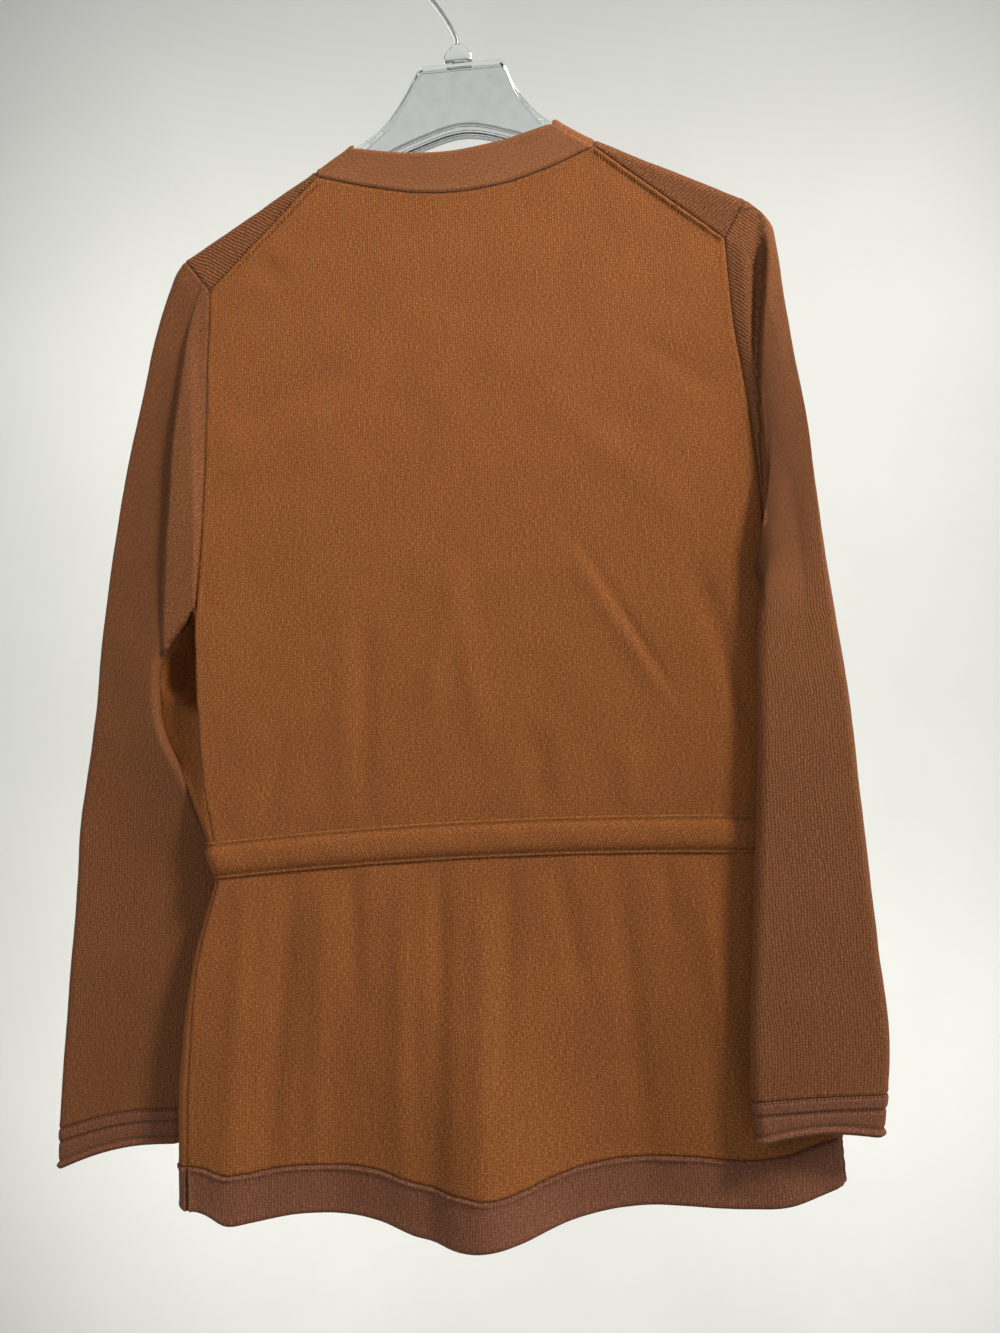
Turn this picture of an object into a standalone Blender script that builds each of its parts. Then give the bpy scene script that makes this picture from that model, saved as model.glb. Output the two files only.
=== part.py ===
"""Tie-front cardigan hung on a clear plastic hanger.

World frame, metres, +Z up. The origin is where the hook hangs, at the inner top
of its loop. The front of the garment faces -Y and its back faces +Y. The
wearer's left is +X. All sizes below are in millimetres.

The cloth is one smooth surface, worked out from a few edge tables, that is cut
into its knitted pieces. Each piece is then a wall with its own thickness.
"""

import math

import bmesh
import bpy
import numpy as np
from mathutils import Vector

MM = 0.001
MOUNT_EMPTY = "hook_mount"

# Looks: linear colour, roughness, metallic, transmission
KNIT = ((0.266, 0.093, 0.026), 0.9, 0.0, 0.0)
BAND_KNIT = ((0.230, 0.088, 0.032), 0.92, 0.0, 0.0)
CLEAR = ((0.93, 0.94, 0.94), 0.08, 0.0, 0.95)
STEEL = ((0.62, 0.62, 0.62), 0.25, 1.0, 0.0)

# Knitted cloth
WALL = 1.6                 # thickness of the body and the sleeves
BAND_WALL = 1.8            # thickness of the bands and the cuffs
SEAM_GAP = 0.3             # space left between two pieces at a seam

# Shoulders and neck
RIDGE_RADIUS = 8.0         # round of the cloth over the hanger
RIDGE_LEAN = 0.87          # cosine of the shoulder slope
FRONT_BAND = 33.0          # width of the band at the neck and down the fronts
FRONT_GAP = 1.5            # space between the two front bands
BAND_MEET = 30.0           # nearer the middle than this, the bands stop at that gap
SHOULDER_BAND = 28.0       # what the band covers along the shoulder's line
BAND_LEAN = 32.0           # degrees that the band leans beside the neck
BAND_LEAN_RUN = (-400.0, -160.0)        # heights between which it comes to lean
NECK_FLARE = 2.5           # how much wider the neck is at the ridge than at its seam

# Waist casing and hem
CASING_HEIGHT = 26.0
CASING_TOP = -617.5        # height of its upper edge at the middle
CASING_SAG = 6.0           # how much lower that edge is at the sides
CASING_SIDE = 190.0
CASING_RISE = [0.9, 3.2, 3.2, 0.9]      # how far its rows stand out from the body
LAY_GAP = 0.3              # space under what lies on the cloth
HEM_FRONT = (-846.0, -877.0)            # hem seam and free edge of the fronts

# Sides of the body
ROUND_TOP = -400.0         # below this height the cloth turns round a side fold
ROUND_RUN = 40.0           # and this is the run over which that sets in
FLAT_TURN = 4.0            # turn for each millimetre of flat cloth past a fold
FLAP_HALF = 4.5            # half the thickness of a flap of folded cloth
FLAP_RUN_BACK = 8.0        # how far from the fold it spreads
FLAP_RUN_FRONT = 30.0

# Underarms
ARM_TURN_RUN = 28.0        # height over which the front turns in to the side seam
NECK_TURN_RUN = 10.0       # the same at its inner edge
TURN_EASE = 0.6
CROTCH_LEAN = [2.2, 1.6, 1.0]   # how far out points down, at the underarm and just above
EVEN_OUT = 0.1             # weight of the neighbours in the direction of out

# Grid of the cloth
FOLD_REACH = 14.0          # width of the closer columns next to the side
SETTLE_COLUMNS = 2.0       # columns over which a front comes level with the back
FOLD_COLUMNS = 5
FRONT_COLUMNS = 5
NECK_COLUMNS = 12
BAND_COLUMNS = 2
STRIP_ROWS = 2
ROUND_ROWS = 3
ARM_ROWS = 9
FRONT_ARM_ROWS = 8
TURN_ROWS = 3
SIDE_ROWS = 6
SKIRT_ROWS = 7
HEM_ROWS = 2
SLEEVE_ROWS = 22
CUFF_ROWS = 2
CASING_MARKS = [0.0, 0.2, 0.8, 1.0]      # rows across the casing, as shares of its height

# Tie at the front
TIE_WIDTH = 10.0
TIE_THICK = 3.0
TIE_LAY = 0.6              # space between the tie and the front bands
TIE_DROP = 160.0           # length of a hanging end
TIE_SPLAY = 12.0
TAIL_ROOT = 3.6            # how far from the middle a hanging end leaves the knot
TAIL_WIDTHS = [6.4, 9.0, 10.0, 10.0, 10.0, 10.0, 10.0]
RIBBON_EDGE = [(-1.0, 0.55), (-0.5, 1.0), (0.5, 1.0), (1.0, 0.55)]     # shares: across, out
# Knot's sections: x, half height, depth
KNOT_SHAPE = [(-7.2, 7.4, 5.2), (-5.8, 8.3, 6.8), (-1.5, 8.5, 8.0), (1.5, 8.5, 8.0),
              (5.8, 8.3, 6.8), (7.2, 7.4, 5.2)]
KNOT_RIM = [(-0.8, 0.0), (-1.0, 0.3), (-0.9, 0.8), (-0.5, 1.0), (0.5, 1.0), (0.9, 0.8),
            (1.0, 0.3), (0.8, 0.0)]     # shares: up, out

# Hanger
WIRE_RADIUS = 1.5
HOOK_RADIUS = 16.0         # of the middle of the wire
HOOK_START = -15.0         # degrees round the loop, from the stem to the tip
HOOK_END = 200.0
HOOK_STEPS = 20
STEM_X = -8.0              # the collar stands a little to the right of the hook's top
COLLAR_FOOT = (10.0, 4.5)
COLLAR_HEAD = (3.2, 3.2)
COLLAR_STEP = 5.0          # height of its straight foot
COLLAR_TOP = -66.0
PLATE_TOP = -79.0
RIM_HALF = 5.0             # half the width of the rim under the cloth
PLATE_HALF = 3.6           # half the width of the rim round the neck plate
WEB_HALF = 1.4
RIM_HEIGHT = 3.0
RIM_CHAMFER = 1.2
FOOT_CHAMFER = 1.0
RIM_WIDENS = (50.0, 72.0)  # between these the neck plate's rim becomes the arm's
HANGER_DROP = 2.8          # from the cloth's ridge down to the top of the arm
ARM_TIP = 188.0
RIM_CURVE = [(0.0, 0.0), (0.55, 0.1), (0.9, 0.45), (1.0, 1.0)]     # shares: across, down

# Top edge of the hanger's neck plate, and the lower edge of the whole hanger: x, z
PLATE_LINE = [(-75.0, -130.2), (-71.0, -127.8), (-56.0, -113.0), (-46.0, -97.0),
              (-40.5, -82.0), (-38.0, -79.3), (18.0, -79.3), (21.0, -82.0), (30.0, -97.0),
              (43.0, -115.0), (61.0, -129.5), (72.0, -135.7)]
HANGER_FOOT = [(-188.0, -206.0), (-150.0, -192.0), (-110.0, -173.0), (-80.0, -157.0),
               (-45.0, -142.0), (-10.0, -133.0), (25.0, -141.0), (70.0, -160.0),
               (110.0, -180.0), (150.0, -202.0), (188.0, -219.0)]

# Middle of the hook's wire below its loop: x, z
STEM = [(-8.0, -65.6), (-7.6, -61.0), (-5.6, -55.5), (-1.5, -47.0), (3.0, -39.0), (8.3, -31.0),
        (12.8, -24.0)]

# The line of the shoulders over the hanger: x, z
RIDGE = [
    (-205.0, -198.0), (-100.5, -144.5), (-75.0, -127.5), (-40.0, -106.0), (0.0, -96.0),
    (38.0, -109.0), (72.0, -133.0), (100.0, -150.5), (199.5, -208.5),
]

# The back neck seam and the free edge of the band above it: x, z
NECK_SEAM = [(-100.0, -152.0), (-72.0, -163.0), (-38.0, -172.5), (-7.0, -176.0),
             (22.0, -175.0), (60.0, -167.0), (97.0, -156.5)]
NECK_EDGE = [(-75.0, -132.0), (-35.0, -141.5), (1.0, -146.0), (36.0, -144.0), (70.0, -137.5)]

# Front neckline, where the band is sewn on: z, x
FRONT_NECK = [(-150.0, 99.5), (-200.0, 86.0), (-260.0, 68.5), (-320.0, 50.5), (-360.0, 40.0),
              (-385.0, 35.5), (-410.0, 33.75), (-900.0, 33.75)]

# Armhole seams: z, x
ARM_LEFT = [(-458.0, 198.0), (-411.0, 191.5), (-361.0, 187.0), (-319.0, 184.0),
            (-278.0, 181.5), (-256.0, 179.5), (-233.0, 178.0)]
ARM_RIGHT = [(-458.0, -200.5), (-396.0, -198.0), (-355.0, -195.5), (-327.0, -192.5),
             (-292.0, -188.5), (-226.0, -186.0)]

# Body sides below the armholes: z, fold x, side seam's distance in from the fold,
# fold centre y, fold radius along x, share of a thin flap (1) in the fold
SIDE_LEFT = [
    (-458.0, 201.0, 3.0, 0.0, 5.5, 0.0), (-475.0, 210.0, 10.5, -3.0, 5.0, 0.6),
    (-495.0, 223.0, 23.0, -12.0, 4.5, 1.0), (-515.0, 229.5, 29.0, -14.0, 4.5, 1.0),
    (-540.0, 228.0, 28.0, -13.0, 4.5, 1.0), (-565.0, 220.0, 20.5, -9.0, 4.5, 1.0),
    (-590.0, 209.0, 11.0, -4.0, 5.5, 0.6), (-612.0, 197.5, 4.0, 0.0, 7.0, 0.0),
    (-627.0, 193.5, 3.0, 0.0, 7.5, 0.0), (-648.0, 193.5, 3.0, 0.0, 7.5, 0.0),
    (-672.0, 203.0, 4.0, 0.0, 7.5, 0.0), (-706.0, 214.0, 5.5, 0.0, 8.0, 0.0),
    (-768.0, 225.5, 9.0, 0.0, 8.0, 0.0), (-848.0, 231.0, 9.5, 1.0, 8.0, 0.0),
    (-890.0, 231.5, 9.0, 1.0, 8.0, 0.0),
]
SIDE_RIGHT = [
    (-458.0, 203.0, 2.5, 0.0, 6.5, 0.0), (-472.0, 205.5, 9.0, -2.0, 5.5, 0.5),
    (-490.0, 209.0, 16.0, -6.0, 4.5, 1.0), (-520.0, 210.0, 18.0, -7.0, 4.5, 1.0),
    (-560.0, 207.0, 17.0, -7.0, 4.5, 1.0), (-590.0, 201.5, 9.0, -4.0, 5.5, 0.6),
    (-612.0, 197.0, 3.5, 0.0, 7.0, 0.0),
    (-627.0, 193.5, 2.5, 0.0, 7.5, 0.0), (-648.0, 193.5, 2.5, 0.0, 7.5, 0.0),
    (-672.0, 202.0, 2.5, 0.0, 7.5, 0.0), (-706.0, 213.0, 2.5, 0.0, 8.0, 0.0),
    (-768.0, 223.0, 2.5, 0.0, 8.0, 0.0), (-848.0, 226.0, 2.5, 0.0, 8.0, 0.0),
    (-890.0, 226.5, 2.5, 0.0, 8.0, 0.0),
]

# How far the back and the front stand from the middle plane: z, back y, front y
DEPTH = [
    (-140.0, 8.0, -8.0), (-180.0, 8.5, -8.5), (-230.0, 9.5, -9.5), (-300.0, 11.0, -11.0),
    (-400.0, 12.5, -12.0), (-500.0, 12.5, -12.5), (-600.0, 11.0, -11.5),
    (-630.0, 10.0, -10.5), (-650.0, 10.5, -11.0), (-720.0, 12.0, -13.0),
    (-800.0, 13.0, -14.0), (-890.0, 14.0, -15.0),
]

# Folds of the back: top x, top z, bottom x, bottom z, width, height at the bottom
BACK_FOLDS = [
    (20.0, -655.0, 12.0, -890.0, 46.0, 29.0), (185.0, -665.0, 196.0, -890.0, 20.0, 5.0),
    (112.0, -655.0, 118.0, -890.0, 28.0, -5.0), (-70.0, -655.0, -96.0, -890.0, 28.0, -4.5),
    (-176.0, -680.0, -186.0, -890.0, 24.0, 5.0), (60.0, -650.0, 52.0, -840.0, 11.0, -3.5),
]
FRONT_FOLDS = [
    (-110.0, -655.0, -120.0, -890.0, 30.0, -13.0), (100.0, -655.0, 112.0, -890.0, 30.0, -13.0),
    (-60.0, -655.0, -62.0, -890.0, 20.0, 4.0), (58.0, -655.0, 60.0, -890.0, 20.0, 4.0),
]

# Hem seam and free edge of the back, lower where a fold stands out: x, seam z, edge z
HEM_BACK = [(-226.0, -838.0, -869.0), (-208.0, -842.0, -875.0), (-187.0, -848.0, -880.5),
            (-162.0, -851.0, -882.9), (-118.0, -848.4, -881.5), (-72.0, -848.6, -881.2),
            (-42.0, -852.3, -884.3), (-12.0, -859.3, -889.8), (8.0, -862.8, -893.0),
            (29.0, -861.5, -895.0), (60.0, -858.4, -893.4), (89.0, -850.8, -885.2),
            (118.0, -848.4, -881.7), (145.0, -847.3, -880.1), (178.0, -850.6, -883.6),
            (194.0, -850.9, -884.4), (210.0, -846.2, -877.2), (229.0, -845.0, -874.3)]

# Sleeves, outer edge from the shoulder down: z, x, back y, front y
OUTER_LEFT = [
    (-208.5, 199.5, 8.0, -8.0), (-216.0, 205.5, 8.0, -9.0), (-228.0, 211.5, 7.0, -10.0),
    (-244.0, 218.0, 6.0, -11.0), (-271.0, 226.3, 5.0, -12.0), (-301.0, 234.2, 4.0, -13.5),
    (-353.0, 248.6, 3.0, -15.0), (-404.0, 260.0, 2.0, -17.0), (-440.0, 268.0, 1.0, -19.0),
    (-480.0, 275.5, 0.0, -21.0), (-541.0, 285.0, -2.0, -23.0), (-600.0, 298.5, -6.0, -25.0),
    (-668.0, 307.4, -9.0, -26.0), (-748.0, 318.4, -11.0, -27.0), (-829.0, 327.5, -12.0, -27.0),
    (-858.0, 329.5, -12.0, -27.0),
]
INNER_LEFT = [
    (-458.0, 198.0, 12.0, -12.0), (-470.0, 209.0, 12.5, -6.0), (-483.0, 217.5, 12.5, -2.0),
    (-496.0, 220.5, 12.0, -1.0), (-516.0, 223.0, 11.0, -2.0), (-544.0, 221.8, 9.0, -3.5),
    (-581.0, 212.3, 5.0, -8.0), (-606.0, 205.0, -1.0, -13.5), (-640.0, 200.0, -11.0, -23.0),
    (-680.0, 205.0, -14.5, -27.0), (-720.0, 213.0, -15.0, -28.0), (-760.0, 221.0, -15.0, -28.0),
    (-795.0, 228.0, -15.0, -28.0), (-817.0, 234.0, -14.0, -27.0), (-842.0, 236.5, -14.0, -27.0),
]
OUTER_RIGHT = [
    (-198.0, -205.0, 8.0, -8.0), (-206.0, -213.5, 10.0, -8.0), (-218.0, -221.0, 13.0, -8.0),
    (-232.0, -222.5, 17.0, -8.0), (-268.0, -224.6, 21.5, -8.0), (-300.0, -227.2, 23.0, -8.0),
    (-350.0, -232.5, 25.0, -7.0), (-400.0, -235.3, 26.0, -5.0), (-470.0, -240.0, 28.0, -1.0),
    (-540.0, -245.5, 30.0, 5.0), (-620.0, -248.5, 31.0, 11.0), (-703.0, -251.8, 32.0, 16.0),
    (-782.0, -254.3, 33.0, 18.5), (-804.0, -251.5, 33.5, 19.0), (-831.5, -246.5, 34.0, 19.0),
]
INNER_RIGHT = [
    (-458.0, -200.5, 12.0, -12.0), (-466.0, -205.0, 17.0, 3.0), (-478.0, -204.5, 21.5, 9.5),
    (-492.0, -196.0, 25.5, 14.0), (-508.0, -192.5, 27.0, 15.5), (-525.0, -190.5, 28.0, 16.5),
    (-545.0, -189.0, 29.0, 17.0), (-597.0, -184.0, 30.0, 17.0), (-655.0, -178.0, 31.0, 18.0),
    (-715.0, -170.5, 33.0, 19.5), (-775.0, -164.5, 34.5, 21.5), (-806.0, -164.5, 35.0, 22.0),
    (-834.0, -167.5, 35.5, 22.5),
]

# Which height of the outer edge goes with which height of the inner edge:
# share of the sleeve's length, outer z, inner z
PAIR_LEFT = [(0.0, -208.5, -458.0), (0.10, -262.0, -463.0), (0.22, -345.0, -473.0),
             (0.34, -425.0, -491.0), (0.46, -500.0, -530.0), (0.58, -570.0, -582.0),
             (0.70, -645.0, -645.0), (0.85, -737.0, -733.0), (1.0, -829.0, -817.0),
             (1.05, -858.0, -842.0)]
PAIR_RIGHT = [(0.0, -198.0, -458.0), (0.10, -262.0, -461.0), (0.22, -345.0, -466.0),
              (0.34, -425.0, -475.0), (0.44, -488.0, -493.0), (0.54, -540.0, -530.0),
              (0.64, -592.0, -582.0), (0.75, -655.0, -650.0), (0.88, -732.0, -733.0),
              (1.0, -804.0, -806.0), (1.05, -831.5, -834.0)]

# How far the middle of the cuff stands above its two ends: share of the length, height
ARCH_LEFT = [(0.85, 0.0), (1.0, 5.0), (1.05, 6.5)]
ARCH_RIGHT = [(0.85, 0.0), (1.0, 1.0), (1.05, 5.5)]

# The strip of sleeve cap next to the armhole seam: z, x of its outer ridge, its y
STRIP_LEFT = [(-225.0, 183.0, 9.5), (-265.0, 196.5, 12.0), (-300.0, 202.4, 14.0),
              (-334.0, 208.2, 15.0), (-381.0, 213.8, 15.5), (-444.0, 220.1, 15.0),
              (-498.0, 224.6, 13.0), (-520.0, 228.0, 11.0)]
STRIP_RIGHT = [(-215.0, -212.0, 9.0), (-252.0, -210.0, 9.5), (-287.0, -205.0, 10.5),
               (-325.0, -201.0, 11.5), (-365.0, -200.0, 12.5), (-399.0, -199.5, 13.0),
               (-440.0, -199.0, 13.0)]
STRIP_STEP = 7.0           # width of the step between the strip and the tube
STRIP_TOP_FADE = 16.0      # heights over which the strip comes and goes
STRIP_END_FADE = 20.0
STRIP_START = 0.04         # share of the sleeve's length over which it starts

# Sections of a sleeve
END_ROUND = 6.5            # depth of the tube's rounded ends
END_ARC = 1.3              # length of cloth round such an end, over its depth
SEAM_FADE = 0.25           # share of the length over which the armhole's own shape fades
EVEN_SHARE = 0.3           # share after which the points lie evenly round the tube

SHARP_ANGLE = 40.0         # degrees


# ---------------------------------------------------------------- small maths

def smooth(table, at, column=1):
    """Read one column of a table by a smooth curve through its rows."""
    rows = sorted(table)
    keys = np.array([row[0] for row in rows])
    values = np.array([row[column] for row in rows])
    slopes = np.gradient(values, keys)
    at = min(max(at, keys[0]), keys[-1])
    index = int(min(max(np.searchsorted(keys, at) - 1, 0), len(keys) - 2))
    span = keys[index + 1] - keys[index]
    t = (at - keys[index]) / span
    a = values[index]
    b = values[index + 1]
    rise = b - a
    m0 = slopes[index] * span
    m1 = slopes[index + 1] * span
    limit = 3.0 * abs(rise)
    m0 = min(max(m0, -limit), limit)
    m1 = min(max(m1, -limit), limit)
    return a + t * (m0 + t * (3 * rise - 2 * m0 - m1 + t * (m0 + m1 - 2 * rise)))


def linear(table, at, column=1):
    """Read one column of a table by straight lines between its rows."""
    rows = sorted(table)
    return float(np.interp(at, [row[0] for row in rows], [row[column] for row in rows]))


def step(value):
    """Smooth rise from 0 to 1 while value goes from 0 to 1."""
    value = min(max(value, 0.0), 1.0)
    return value * value * (3.0 - 2.0 * value)


def mix(a, b, share):
    """A value between two, by its share of the way."""
    return a + (b - a) * share


# ---------------------------------------------------------------- body surface

def fold_height(folds, x, z):
    """Sum of the long folds of one side at a place."""
    total = 0.0
    for top_x, top_z, bottom_x, bottom_z, width, height in folds:
        down = (z - top_z) / (bottom_z - top_z)
        if down <= 0.0:
            continue
        middle = mix(top_x, bottom_x, min(down, 1.0))
        grow = step(min(down, 1.0) * 0.5) * 2.0
        total += height * grow * math.exp(-((x - middle) / width) ** 2)
    return total


def ridge_round(x, z):
    """1 on the flat of the cloth, falling to 0 at the ridge over the hanger."""
    below = (linear(RIDGE, x) - z) * RIDGE_LEAN
    if below >= RIDGE_RADIUS:
        return 1.0
    return math.sqrt(max(1.0 - (1.0 - max(below, 0.0) / RIDGE_RADIUS) ** 2, 0.0))


def side_row(x, z):
    """Fold x, seam inset, fold y, radius and flap share of the nearer side."""
    table = SIDE_LEFT if x > 0 else SIDE_RIGHT
    return [smooth(table, z, column) for column in range(1, 6)]


def back_y(x, z):
    """The outer back surface."""
    base = smooth(DEPTH, z, 1) + fold_height(BACK_FOLDS, x, z)
    base *= ridge_round(x, z)
    fold_x, inset, fold_y, radius, flap = side_row(x, z)
    inner = fold_x - radius
    past_seam = abs(x) - (fold_x - inset)
    level = mix(base, fold_y + FLAP_HALF, flap * step(past_seam / FLAP_RUN_BACK))
    if abs(x) <= inner:
        return level
    reach = min((abs(x) - inner) / radius, 1.0) * step((ROUND_TOP - z) / ROUND_RUN)
    return fold_y + (level - fold_y) * math.sqrt(1.0 - reach * reach)


def front_y(x, z):
    """The outer front surface."""
    base = smooth(DEPTH, z, 2) + fold_height(FRONT_FOLDS, x, z)
    base *= ridge_round(x, z)
    fold_x, inset, fold_y, radius, flap = side_row(x, z)
    inner = fold_x - radius
    share = step((abs(x) - inner + FLAP_RUN_FRONT) / FLAP_RUN_FRONT)
    level = mix(base, fold_y - FLAP_HALF, flap * share)
    if abs(x) <= inner:
        return level
    reach = min((abs(x) - inner) / radius, 1.0) * step((ROUND_TOP - z) / ROUND_RUN)
    return fold_y + (level - fold_y) * math.sqrt(1.0 - reach * reach)


def over_ridge(x, reach):
    """A point by its x and its distance along the cloth from the ridge.

    A positive distance is on the back and a negative one on the front.
    """
    quarter = math.pi * RIDGE_RADIUS / 2.0
    far = abs(reach)
    if far < quarter:
        drop = RIDGE_RADIUS * (1.0 - math.cos(far / RIDGE_RADIUS))
    else:
        drop = RIDGE_RADIUS + far - quarter
    z = linear(RIDGE, x) - drop / RIDGE_LEAN
    y = back_y(x, z) if reach > 0 else front_y(x, z)
    return np.array([x, y, z])


def reach_of(x, z):
    """Distance along the cloth from the ridge down to a height."""
    drop = (linear(RIDGE, x) - z) * RIDGE_LEAN
    if drop < RIDGE_RADIUS:
        return RIDGE_RADIUS * math.acos(1.0 - drop / RIDGE_RADIUS)
    return math.pi * RIDGE_RADIUS / 2.0 + drop - RIDGE_RADIUS


def casing_top(x):
    """Height of the upper edge of the waist casing."""
    return CASING_TOP - CASING_SAG * (x / CASING_SIDE) ** 2


def level_z(row, x, back):
    """Height of a row of the grid below the armholes, row 0 being at the underarm."""
    underarm = ARM_LEFT[0][0]
    top = casing_top(x)
    bottom = top - CASING_HEIGHT
    hem = smooth(HEM_BACK, x, 1) if back else HEM_FRONT[0]
    edge = smooth(HEM_BACK, x, 2) if back else HEM_FRONT[1]
    casing_rows = len(CASING_MARKS) - 1
    if row <= SIDE_ROWS:
        return mix(underarm, top, row / SIDE_ROWS)
    row -= SIDE_ROWS
    if row <= casing_rows:
        return top - CASING_HEIGHT * CASING_MARKS[row]
    row -= casing_rows
    if row <= SKIRT_ROWS:
        return mix(bottom, hem, row / SKIRT_ROWS)
    return mix(hem, edge, (row - SKIRT_ROWS) / HEM_ROWS)


LEVELS = SIDE_ROWS + len(CASING_MARKS) - 1 + SKIRT_ROWS + HEM_ROWS
HEM_LEVEL = LEVELS - HEM_ROWS


class Side:
    """One side of the garment. sign is +1 on the wearer's left."""

    def __init__(self, name, sign):
        left = sign > 0
        self.name = name
        self.sign = sign
        self.arm = ARM_LEFT if left else ARM_RIGHT
        self.body = SIDE_LEFT if left else SIDE_RIGHT
        self.outer = OUTER_LEFT if left else OUTER_RIGHT
        self.inner = INNER_LEFT if left else INNER_RIGHT
        self.pair = PAIR_LEFT if left else PAIR_RIGHT
        self.strip = STRIP_LEFT if left else STRIP_RIGHT
        self.arch = ARCH_LEFT if left else ARCH_RIGHT
        self.tip_x = RIDGE[-1][0] if left else RIDGE[0][0]
        self.neck_x, neck_z = NECK_SEAM[-1] if left else NECK_SEAM[0]
        self.neck_reach = reach_of(self.neck_x, neck_z)
        self.corner_z, self.corner_x = max(self.arm)
        self.corner_reach = reach_of(self.corner_x, self.corner_z)

    def seam_point(self, z):
        """A point of the side seam."""
        x = self.sign * (smooth(self.body, z, 1) - smooth(self.body, z, 2))
        return np.array([x, back_y(x, z), z])

    def seam_turn(self, z):
        """Where the side seam lies round the fold, in turns of fold_point."""
        inset = smooth(self.body, z, 2)
        radius = smooth(self.body, z, 4)
        if inset > radius:
            return 90.0 + FLAT_TURN * (inset - radius)
        return math.degrees(math.acos(1.0 - inset / radius))

    def fold_point(self, turn, z):
        """A point by its turn round the side fold.

        From 90 to -90 the turn is an angle round the fold, from back to front.
        Past these it goes on along the flat cloth, FLAT_TURN for each millimetre.
        """
        radius = smooth(self.body, z, 4)
        inner = smooth(self.body, z, 1) - radius
        flat = max(abs(turn) - 90.0, 0.0) / FLAT_TURN
        surface = back_y if turn > 0 else front_y
        if flat > 0.0:
            x = self.sign * (inner - flat)
            return np.array([x, surface(x, z), z])
        middle = smooth(self.body, z, 3)
        angle = math.radians(turn)
        x = self.sign * (inner + radius * math.cos(angle))
        level = surface(self.sign * inner, z)
        return np.array([x, middle + (level - middle) * abs(math.sin(angle)), z])

    def arm_back(self):
        """Armhole seam on the back, from the shoulder seam to the underarm."""
        points = []
        for row in range(ARM_ROWS + 1):
            z = mix(self.corner_z, self.arm[0][0], row / ARM_ROWS)
            x = smooth(self.arm, z)
            points.append(np.array([x, back_y(x, z), z]))
        points[-1] = self.seam_point(self.arm[0][0])
        return points

    def ridge_rows(self):
        """Distances from the ridge of the first rows of the front, at both ends."""
        quarter = math.pi * RIDGE_RADIUS / 2.0
        rows = []
        for start in (self.corner_reach, self.neck_reach):
            middle = min(quarter, 0.8 * start)
            marks = [mix(start, middle, k / STRIP_ROWS) for k in range(STRIP_ROWS)]
            marks += [mix(middle, 0.0, k / ROUND_ROWS) for k in range(ROUND_ROWS)]
            marks += [-quarter * k / ROUND_ROWS for k in range(ROUND_ROWS + 1)]
            rows.append(marks)
        return list(zip(rows[0], rows[1]))

    def arm_x(self, reach):
        """x of the armhole seam where it crosses the shoulder."""
        return mix(self.tip_x, self.corner_x, abs(reach) / self.corner_reach)


def front_row_over_ridge(side, outer_reach, inner_reach):
    """One row of the front, where it passes over the shoulder."""
    outer_x = side.arm_x(outer_reach)
    drop = inner_reach / side.neck_reach
    inner_x = side.neck_x + side.sign * NECK_FLARE * (1.0 - max(drop, 0.0))
    return flat_row(side, outer_x, outer_reach, inner_x, inner_reach)


def column_shares(outer_x, inner_x):
    """Shares across the front of its columns, closer together at the side."""
    near = FOLD_REACH / abs(outer_x - inner_x)
    shares = [near * k / FOLD_COLUMNS for k in range(FOLD_COLUMNS)]
    shares += [mix(near, 1.0, k / FRONT_COLUMNS) for k in range(FRONT_COLUMNS + 1)]
    return shares


def flat_row(side, outer_x, outer_reach, inner_x, inner_reach):
    """A row across the front between two places given by x and reach."""
    row = []
    for share in column_shares(outer_x, inner_x):
        x = mix(outer_x, inner_x, share)
        row.append(over_ridge(x, mix(outer_reach, inner_reach, share)))
    return row


def front_row_at_turn(side, turn, outer_z, inner_z):
    """A row of the front that starts at a turn round the side fold."""
    last = min(turn, -90.0) - FLAT_TURN * FOLD_REACH
    row = [side.fold_point(mix(turn, last, k / FOLD_COLUMNS), outer_z)
           for k in range(FOLD_COLUMNS)]
    start = side.fold_point(last, outer_z)
    for k in range(FRONT_COLUMNS + 1):
        share = k / FRONT_COLUMNS
        z = mix(outer_z, inner_z, share)
        x = mix(start[0], side.sign * smooth(FRONT_NECK, inner_z), share)
        row.append(np.array([x, front_y(x, z), z]))
    return row


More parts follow.
